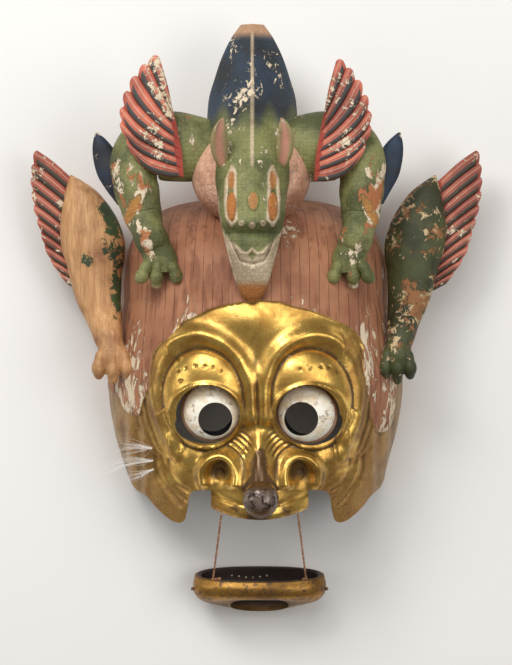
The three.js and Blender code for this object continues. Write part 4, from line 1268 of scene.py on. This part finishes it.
def foreleg(word):
    side = -1 if word == "left" else 1
    place = fore_place(side)
    paw_z = float(hood_z(*PAW)) + 9
    leg = [(30, 137, 82, 22, 17), (50, 139, 85, 26, 18), (68, 140.5, 86, 27, 18), (84, 138, 87, 24, 17),
           (93, 128, 88, 19.5, 16), (93, 114, 89, 17, 15.5), (90, 100, 91, 15.6, 14.5),
           (86.5, 86, 92, 14.6, 13.5),
           (82, 73, paw_z + 2, 13, 12), (77, 62, paw_z, 12, 10), (73, 52, paw_z, 13, 9),
           (73, 43, paw_z, 11, 7)]
    knotty = lambda share, turn: (0.9 * np.sin(share * 34) * bump(share - 0.72, 0.12)
                                  + 1.4 * bump(share - 0.52, 0.05) * np.cos(2 * turn) ** 2)
    parts = [limb([place(s) for s in leg], 150, 72, knotty)]
    for dx, tip in ((-12, 34), (3, 31), (14, 36)):
        toe = [(73 + dx * 0.5, 53, paw_z + 1, 3.5, 5), (73 + dx * 0.8, 46, paw_z + 3, 4.6, 6.2),
               (73 + dx, 40, paw_z + 2, 5, 6.4), (73 + dx * 1.04, tip + 3, paw_z - 1, 3.9, 4.5),
               (73 + dx * 1.05, tip, paw_z - 3, 1.6, 2.4)]
        joints = lambda share, turn: 0.9 * np.abs(np.sin(share * 9.4)) - 0.4
        parts.append(limb([place(s) for s in toe], 40, 28, joints))
    leg_object = merge_limbs(f"foreleg_skin_{word}", parts)
    at = places(leg_object)
    along_leg = [place((x, y, 0))[:2] for x, y in STRIPE]
    to_stripe = distance_to(along_leg, at[:, 0], at[:, 1])
    middle = place((95, 90, 0))
    across, along = at[:, 0] - middle[0], at[:, 1] - middle[1]
    almond = ((across + side * 0.5 * along) / 4.2) ** 2 + (along / 13) ** 2
    put(leg_object, "stripe", np.maximum(bump(to_stripe, 4.2), bump(np.sqrt(almond) - 1.15, 0.3)))
    put(leg_object, "almond", 1 - ease(almond, 0.75, 1.0))
    fin = [(123.6, 152, 78, 0.8, 1.2), (120.5, 143, 78, 6.2, 3.5), (116.6, 132.6, 78, 9.5, 4),
           (112, 122, 79, 11, 4.5),
           (107, 110, 80, 9, 4), (102, 97, 81, 5, 3)]
    fin_object = merge_limbs(f"elbow_fin_{word}", [limb([place(s) for s in fin], 60, 36)])
    leg_object.data.materials.append(leg_finish())
    fin_object.data.materials.append(fin_finish())
    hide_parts(f"foreleg_{word}")
    for piece in (leg_object, fin_object):
        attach(piece, "mask")


def leg_finish():
    if "foreleg_paint" in bpy.data.materials:
        return bpy.data.materials["foreleg_paint"]

    def paint(tree, here, cloud):
        green = tree.mix(tree.step(cloud, 0.38, 0.62), GREEN, srgb(92, 98, 56))
        claw = tree.times(tree.step(tree.read("kind"), 0.5, 0.6),
                          tree.step(tree.read("share"), 0.66, 0.8))
        green = tree.mix(tree.read("almond"), green, srgb(196, 138, 72))
        return tree.mix(tree.times(claw, 0.8), green, srgb(176, 150, 120))
    stripe = lambda tree: tree.math("MULTIPLY",
                                    tree.math("SUBTRACT", tree.read("stripe"), tree.read("almond")), 0.17)
    return flaked_paint("foreleg_paint", paint, amount=0.33, extra_bias=stripe, chip=200, patch=48,
                        scales=300, stretch=(1, 0.5, 1),
                        under=srgb(176, 112, 70))


def fin_finish():
    if "fin_blue_paint" in bpy.data.materials:
        return bpy.data.materials["fin_blue_paint"]

    def paint(tree, here, cloud):
        return tree.mix(tree.step(cloud, 0.38, 0.62), srgb(44, 60, 82), srgb(28, 38, 54))
    tip = lambda tree: tree.step(tree.read("share"), 0.22, 0.02, 0.0, 0.2)
    return flaked_paint("fin_blue_paint", paint, amount=0.29, chip=170, patch=40, extra_bias=tip)


FORE_GUIDES = [
    [(64, 170, 101), (67, 185, 104), (71, 199, 103), (75, 211.5, 98)],
    [(61, 158, 101), (71, 172.6, 104), (80, 189, 103), (86.5, 202, 98)],
    [(58.7, 146, 101), (73, 156.5, 104), (87.8, 172, 103), (97.2, 188, 98)],
    [(56.4, 135, 101), (72.4, 142, 104), (91, 154.5, 103), (103.5, 170, 98)],
    [(55.6, 125.2, 101), (69.4, 129.7, 104), (88, 138, 103), (103.5, 153, 98)],
    [(55, 116, 101), (65.5, 115.5, 104), (79.4, 119.5, 103), (94, 131, 98)],
]
HIND_GUIDES = [
    [(141.5, 115.3, 36), (159, 131, 36), (174, 141.5, 34)],
    [(141.5, 92, 36), (159.7, 107.4, 36), (177, 121, 34)],
    [(139, 70, 36), (158, 86, 36), (175.5, 99, 34)],
    [(137, 52, 36), (154, 65.6, 36), (170, 77, 34)],
    [(135, 38, 36), (149.4, 47.5, 36), (162.8, 55.5, 34)],
    [(133.6, 27, 36), (141.5, 31, 36), (149, 35, 34)],
]


def wing(name, guides, feathers, front, notch, lift, thickness=7.0, across=None, along=90):
    """A carved wing: guide curves from root to tip, rounded feather tips, and a shaft along each
    feather."""
    per = 22
    across = feathers * per
    guides = np.array(guides, float)
    v = np.linspace(0, 1, along + 1)
    u = np.linspace(0, 1, across + 1)
    phase = (u * feathers) % 1.0
    reach = 1 - notch * np.abs(2 * phase - 1) ** 2.4
    sample = v[:, None] * reach[None]
    on = np.stack([resample(g, 200) for g in guides], 0)
    i = sample * 199
    low = np.clip(i.astype(int), 0, 198)
    part = (i - low)[..., None]
    rows = np.stack([g[low] * (1 - part) + g[low + 1] * part for g in on], 0)
    spots = np.linspace(0, 1, len(guides))
    table = rows.reshape(len(guides), -1)
    slope = np.gradient(table, spots, axis=0)
    k = np.clip(np.searchsorted(spots, u, side="right") - 1, 0, len(guides) - 2)
    span = spots[1] - spots[0]
    t = ((u - spots[k]) / span)
    rows4 = rows.transpose(1, 2, 0, 3)
    slope4 = slope.reshape(len(guides), along + 1, across + 1, 3).transpose(1, 2, 0, 3)
    pick = lambda arr, idx: np.stack([arr[:, c, idx[c]] for c in range(across + 1)], 1)
    t = t[None, :, None]
    top = ((2 * t**3 - 3 * t**2 + 1) * pick(rows4, k) + (t**3 - 2 * t**2 + t) * span * pick(slope4, k)
           + (3 * t**2 - 2 * t**3) * pick(rows4, k + 1) + (t**3 - t**2) * span * pick(slope4, k + 1))
    shape = np.clip(1 - (np.abs(2 * phase - 1)) ** 3, 0, 1) ** 0.6
    relief = lift * shape[None] * np.minimum(1, 5 * v)[:, None]
    channel = -0.8 * bump(phase - 0.5, 0.1)[None] * ease(v, 0.05, 0.2)[:,
                                                                       None] * (1 - ease(v, 0.8, 0.92))[:,
                                                                                                        None]
    upper = top.copy()
    upper[..., 2] += front + relief + channel
    lower = top.copy()
    lower[..., 2] += front - thickness
    rings = np.concatenate([upper, lower[:, ::-1]], 1)
    obj = mesh_object(name, *loft(rings), smooth_angle=50)
    both = np.tile(np.concatenate([phase, phase[::-1]]), along + 1)
    put(obj, "phase", np.append(both, [0.5, 0.5]))
    put(obj, "along", np.append(np.repeat(v, 2 * (across + 1)), [0, 1]))
    put(obj, "groove", np.append(np.tile(np.concatenate([0.9 - 1.3 * shape, 0 * shape]), along + 1), [0, 0]))
    put(obj, "behind", np.append(np.tile(np.concatenate([0 * phase, 0 * phase + 1]), along + 1), [0, 0]))
    return obj


def forewing(word):
    side = -1 if word == "left" else 1
    place = lambda p: (-p[0], p[1], p[2]) if side < 0 else (53 + 0.9 * (p[0] - 64), p[1] - 3, p[2])
    guides = [[place(p) for p in g] for g in FORE_GUIDES]
    obj = wing(f"forewing_feathers_{word}", guides, 7, 6, 0.1, 2.4)
    obj.data.materials.append(feather_finish("forewing_paint", srgb(214, 118, 92), srgb(80, 74, 72), 0.35))
    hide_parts(f"forewing_{word}")
    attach(obj, "mask")


def feather_finish(name, red, grey, amount):
    if name in bpy.data.materials:
        return bpy.data.materials[name]

    def paint(tree, here, cloud):
        phase, along = tree.read("phase"), tree.read("along")
        warm = tree.mix(tree.step(cloud, 0.4, 0.62), red, srgb(176, 84, 68))
        # A paler band on one flank of each feather is a painted highlight.
        crest = tree.times(tree.step(phase, 0.22, 0.3), tree.step(phase, 0.42, 0.36))
        warm = tree.mix(tree.times(crest, 0.55), warm, srgb(226, 172, 150))
        tip = tree.step(along, 0.9, 0.95)
        seam = tree.times(tree.step(phase, 0.54, 0.62), tree.rest(tip))
        colour = tree.mix(seam, warm, grey)
        ragged = tree.plus(along, tree.times(tree.noise(here, 120, 3), 0.2))
        colour = tree.mix(tree.step(ragged, 0.22, 0.19), colour, srgb(172, 72, 58))
        return tree.mix(tree.read("behind"), colour, WOOD)
    return flaked_paint(name, paint, amount=amount, chip=220, patch=50)


GREEN_LEFT = [(-116, 92), (-108, 68), (-107, 40), (-104, 12)]


def hind_leg(word):
    side = -1 if word == "left" else 1
    def place(station):
        x, y, z, w, h = station
        return (-x, y, z, w, h) if side < 0 else (105 + 0.9 * (x - 105), y, z, 0.94 * w, h)
    grip = float(hood_z(108.0, -28.0)) + 12
    leg = [(145.2, 120, 40, 1, 4), (141.6, 111, 41, 8.5, 10), (136.5, 98.5, 42, 16.5, 14),
           (131.7, 82, 43, 22.8, 16),
           (127.5, 66, 44, 24.8, 16.5), (125.7, 55, 45, 23.5, 16), (125, 42.6, 46, 20.8, 15),
           (122.4, 24.5, 48, 17.8, 14), (118.5, 10, 51, 14.5, 13), (114.8, -6, grip - 3, 11.6, 12),
           (112, -17, grip, 11.3, 12), (111.5, -27, grip, 12.5, 12), (111.3, -36, grip, 9, 8)]
    muscle = lambda share, turn: (0.8 * bump(share - 0.86, 0.03) - 0.9 * bump(share - 0.8, 0.03)
                                  + 0.5 * np.cos(3 * turn) * bump(share - 0.6, 0.2))
    parts = [limb([place(s) for s in leg], 170, 76, muscle)]
    for dx, tip in ((-11, -38), (0, -41.5), (11, -38)):
        toe = [(111 + dx * 0.7, -17, grip + 4, 3, 4), (111 + dx * 0.85, -23, grip + 6, 4.6, 5.6),
               (111 + dx, -31, grip + 6, 5, 5.8), (111 + dx, tip + 2.5, grip + 2, 4.0, 4.6),
               (111 + dx, tip, grip - 1, 1.8, 2.6)]
        joints = lambda share, turn: 0.8 * np.abs(np.sin(share * 9.4)) - 0.4
        parts.append(limb([place(s) for s in toe], 40, 28, joints))
    obj = merge_limbs(f"hind_leg_skin_{word}", parts)
    at = places(obj)
    put(obj, "green_share", np.maximum(bump(distance_to(GREEN_LEFT, at[:, 0], at[:, 1]), 13),
                                       bump(np.hypot((at[:, 0] + 130) / 1.6, at[:, 1] - 52), 7)))
    obj.data.materials.append(bare_leg_finish() if side < 0 else hind_leg_finish())
    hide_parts(f"hind_leg_{word}")
    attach(obj, "mask")


def bare_leg_finish():
    """Bare brown wood on which patches of green paint survive, thickest low on the thigh's inner side."""
    made, tree, shader = new_finish("bare_leg_wood")
    here = tree.here()
    grain = group_node(tree, grain_group(), {"Vector": here})
    cloud = tree.noise(here, 26, 5, 0.6)
    wood = tree.mix(grain.outputs["Grain"], srgb(176, 126, 80), srgb(218, 168, 116))
    wood = tree.mix(tree.step(cloud, 0.45, 0.7), wood, srgb(132, 84, 52))
    bias = tree.times(tree.read("green_share"), 0.27)
    patch = group_node(tree, flaking_group(), {"Vector": here, "Patch Scale": 40.0, "Chip Scale": 170.0,
                                               "Amount": 0.21, "Bias": bias})
    green = tree.mix(tree.step(cloud, 0.4, 0.6), srgb(66, 84, 46), srgb(44, 60, 38))
    colour = tree.mix(patch.outputs["Lost"], wood, green)
    tree.join(shader.inputs["Base Color"], colour)
    shader.inputs["Roughness"].default_value = 0.6
    height = tree.plus(tree.times(grain.outputs["Height"], 0.3),
                       tree.times(patch.outputs["Lost"], 0.4))
    tree.relief(shader, height, 0.6)
    return made


def hind_leg_finish():
    def paint(tree, here, cloud):
        green = tree.mix(tree.step(cloud, 0.38, 0.62), srgb(84, 88, 52), srgb(56, 62, 38))
        return green
    return flaked_paint("hind_leg_green_paint", paint, ground=srgb(206, 182, 140), amount=0.40, chip=180,
                        patch=36,
                        under=srgb(150, 104, 66))


def hind_wing(word):
    side = -1 if word == "left" else 1
    place = lambda p: (-p[0], p[1], p[2]) if side < 0 else (p[0] + 1.5, p[1], p[2])
    guides = [[place(p) for p in g] for g in HIND_GUIDES]
    obj = wing(f"hind_wing_feathers_{word}", guides, 10, 4, 0.07, 2.2)
    obj.data.materials.append(feather_finish("hind_wing_paint", srgb(184, 104, 82), srgb(82, 72, 62), 0.35))
    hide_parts(f"hind_wing_{word}")
    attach(obj, "mask")


# White hair

TUFTS = [
    [(-80.3, -93, 2), (-97, -93.6, 12), (-114.7, -98, 30)],
    [(-79.5, -103, 2), (-101, -106, 16), (-121.7, -114, 40)],
    [(-79, -109.5, 2), (-92, -114.5, 10), (-103, -118, 24)],
]


def build_tuft(index, route):
    """Loose hairs: each a thin three-sided tube along the tuft's route, spread by a seeded random
    offset."""
    rng = np.random.default_rng(40 + index)
    points, quads, tris, start = [], [], [], 0
    base = np.array([(x, y, float(hood_z(x, y)) + lift) for x, y, lift in route])
    for _ in range(26):
        spread = rng.normal(0, 1, 3) * [2.4, 3.8, 3.4]
        reach = rng.uniform(0.7, 1.0)
        line = resample(base, 24)[: max(6, int(24 * reach))]
        share = np.linspace(0, 1, len(line))[:, None]
        curl = rng.normal(0, 1, 3) * [0.5, 1.0, 1.0]
        line = line + spread * share + curl * np.sin(share * math.pi) + rng.normal(0, 0.35, 3)
        radius = 0.10 * (1 - 0.7 * share)
        turn = np.arange(3) * 2 * np.pi / 3
        ring = line[:, None] + radius[:, None] * np.stack([np.zeros(3), np.cos(turn), np.sin(turn)], -1)
        p, faces = loft(ring)
        points.append(p)
        for group in faces:
            (quads if group.shape[1] == 4 else tris).append(group + start)
        start += len(p)
    obj = mesh_object(f"white_hair_{index + 1}", np.vstack(points), [np.vstack(quads), np.vstack(tris)], 80)
    if "white_hair" not in bpy.data.materials:
        plain_paint("white_hair", srgb(238, 230, 214), srgb(204, 190, 168), 0.5)
    obj.data.materials.append(bpy.data.materials["white_hair"])
    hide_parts(f"whisker_tuft_{index + 1}")
    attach(obj, "mask")


# Studio

CAMERA_HEIGHT, MM_PER_PIXEL = 2.5, 0.8


def build_stage(settings):
    scene = bpy.context.scene
    size = 6.0
    floor = bpy.data.meshes.new("floor")
    floor.from_pydata([(-size, -size, 0), (size, -size, 0), (size, size, 0), (-size, size, 0)], [],
                      [(0, 1, 2, 3)])
    obj = bpy.data.objects.new("floor", floor)
    scene.collection.objects.link(obj)
    paper = bpy.data.materials.new("floor_paper")
    paper.use_nodes = True
    shader = paper.node_tree.nodes["Principled BSDF"]
    shader.inputs["Base Color"].default_value = (*settings.floor_colour, 1)
    shader.inputs["Roughness"].default_value = 0.9
    shader.inputs["Specular IOR Level"].default_value = 0.1
    floor.materials.append(paper)

    camera = bpy.data.cameras.new("camera")
    camera.sensor_fit, camera.sensor_height = "VERTICAL", 24
    camera.lens = 24 * CAMERA_HEIGHT / (665 * MM_PER_PIXEL / 1000)
    holder = bpy.data.objects.new("camera", camera)
    x, y, _ = to_frame([0.4, -3.35, 0])
    holder.location = (x, y, CAMERA_HEIGHT)
    scene.collection.objects.link(holder)
    scene.camera = holder

    for name, place, power, width in (("key", (-0.75, 1.05, 1.35), settings.key_power, 0.7),
                                      ("soft upper", (-0.1, 1.45, 2.3), settings.soft_power * 0.6, 1.7),
                                      ("soft right", (1.5, 0.1, 2.2), settings.soft_power * 0.6, 1.7),
                                      ("left", (-1.5, 0.1, 0.9), settings.key_power * 0.25, 0.7)):
        light = bpy.data.lights.new(name, "AREA")
        light.energy, light.size = power, width
        lamp = bpy.data.objects.new(name, light)
        lamp.location = place
        aim = np.array([0, 0, 0.05]) - np.array(place)
        lamp.rotation_euler = (math.atan2(math.hypot(aim[0], aim[1]), -aim[2]), 0,
                               math.atan2(-aim[0], aim[1]))
        scene.collection.objects.link(lamp)
    world = bpy.data.worlds.new("studio")
    world.use_nodes = True
    background = world.node_tree.nodes["Background"]
    background.inputs["Color"].default_value = (1.0, 0.985, 0.96, 1)
    background.inputs["Strength"].default_value = settings.sky_strength
    scene.world = world
    scene.view_settings.view_transform = "Standard"


# The add-on

class MaskSettings(bpy.types.PropertyGroup):
    """Light strengths and the floor colour a user may change before building."""
    key_power: bpy.props.FloatProperty(name="Key light", description="Power of the main light", default=14.0,
                                       min=0.0, unit="POWER")
    soft_power: bpy.props.FloatProperty(name="Soft lights",
                                        description="Power shared by the two broad lights beside the camera",
                                        default=38.0, min=0.0, unit="POWER")
    sky_strength: bpy.props.FloatProperty(name="Sky", description="Strength of the even light from all round",
                                          default=0.19, min=0.0)
    floor_colour: bpy.props.FloatVectorProperty(name="Floor",
                                                description="Colour of the paper under the mask",
                                                subtype="COLOR", size=3, default=(0.92, 0.90, 0.87), min=0,
                                                max=1)


class PieceOperator:
    bl_options = {"REGISTER", "UNDO"}

    def execute(self, context):
        self.build(context)
        return {"FINISHED"}


class MASK_OT_stage(PieceOperator, bpy.types.Operator):
    """Lays the paper floor and sets the camera and lights"""
    bl_idname, bl_label = "mask.stage", "Studio"

    def build(self, context):
        build_stage(context.scene.mask_settings)


class MASK_OT_cords(PieceOperator, bpy.types.Operator):
    """Twists the two cords that carry the jaw"""
    bl_idname, bl_label = "mask.cords", "Jaw cords"

    def build(self, context):
        build_cord("left")
        build_cord("right")


class MASK_OT_shell(PieceOperator, bpy.types.Operator):
    """Carves the hood and the gilded face"""
    bl_idname, bl_label = "mask.shell", "Hood and face"

    def build(self, context):
        build_shell()


class MASK_OT_eyes(PieceOperator, bpy.types.Operator):
    """Turns the two loose eyeballs"""
    bl_idname, bl_label = "mask.eyes", "Eyeballs"

    def build(self, context):
        build_eye("left")
        build_eye("right")


class MASK_OT_jaw(PieceOperator, bpy.types.Operator):
    """Carves the hanging lower jaw"""
    bl_idname, bl_label = "mask.jaw", "Lower jaw"

    def build(self, context):
        build_jaw()


class MASK_OT_dragon(PieceOperator, bpy.types.Operator):
    """Carves the dragon's head, neck, chest and ears"""
    bl_idname, bl_label = "mask.dragon", "Dragon body"

    def build(self, context):
        build_dragon_body()


class MASK_OT_legs(PieceOperator, bpy.types.Operator):
    """Carves the dragon's four legs and two elbow fins"""
    bl_idname, bl_label = "mask.legs", "Dragon legs"

    def build(self, context):
        for word in ("left", "right"):
            foreleg(word)
            hind_leg(word)


class MASK_OT_wings(PieceOperator, bpy.types.Operator):
    """Carves the four feathered wings"""
    bl_idname, bl_label = "mask.wings", "Dragon wings"

    def build(self, context):
        for word in ("left", "right"):
            forewing(word)
            hind_wing(word)


class MASK_OT_hair(PieceOperator, bpy.types.Operator):
    """Plants the tufts of white hair"""
    bl_idname, bl_label = "mask.hair", "White hair"

    def build(self, context):
        for index, route in enumerate(TUFTS):
            build_tuft(index, route)


OPERATORS = (MASK_OT_stage, MASK_OT_cords, MASK_OT_shell, MASK_OT_eyes, MASK_OT_jaw, MASK_OT_dragon,
             MASK_OT_legs,
             MASK_OT_wings, MASK_OT_hair)


class MASK_PT_panel(bpy.types.Panel):
    """Lists the mask's pieces"""
    bl_label, bl_space_type, bl_region_type, bl_category = "Dragon Crest Mask", "VIEW_3D", "UI", "Mask"

    def draw(self, context):
        for name in ("key_power", "soft_power", "sky_strength", "floor_colour"):
            self.layout.prop(context.scene.mask_settings, name)
        for operator in OPERATORS:
            self.layout.operator(operator.bl_idname)


CLASSES = (MaskSettings, *OPERATORS, MASK_PT_panel)


def register():
    for cls in CLASSES:
        bpy.utils.register_class(cls)
    bpy.types.Scene.mask_settings = bpy.props.PointerProperty(type=MaskSettings)


def unregister():
    del bpy.types.Scene.mask_settings
    for cls in reversed(CLASSES):
        bpy.utils.unregister_class(cls)


def main():
    register()
    for operator in OPERATORS:
        group, name = operator.bl_idname.split(".")
        getattr(getattr(bpy.ops, group), name)()


if __name__ == "__main__":
    main()
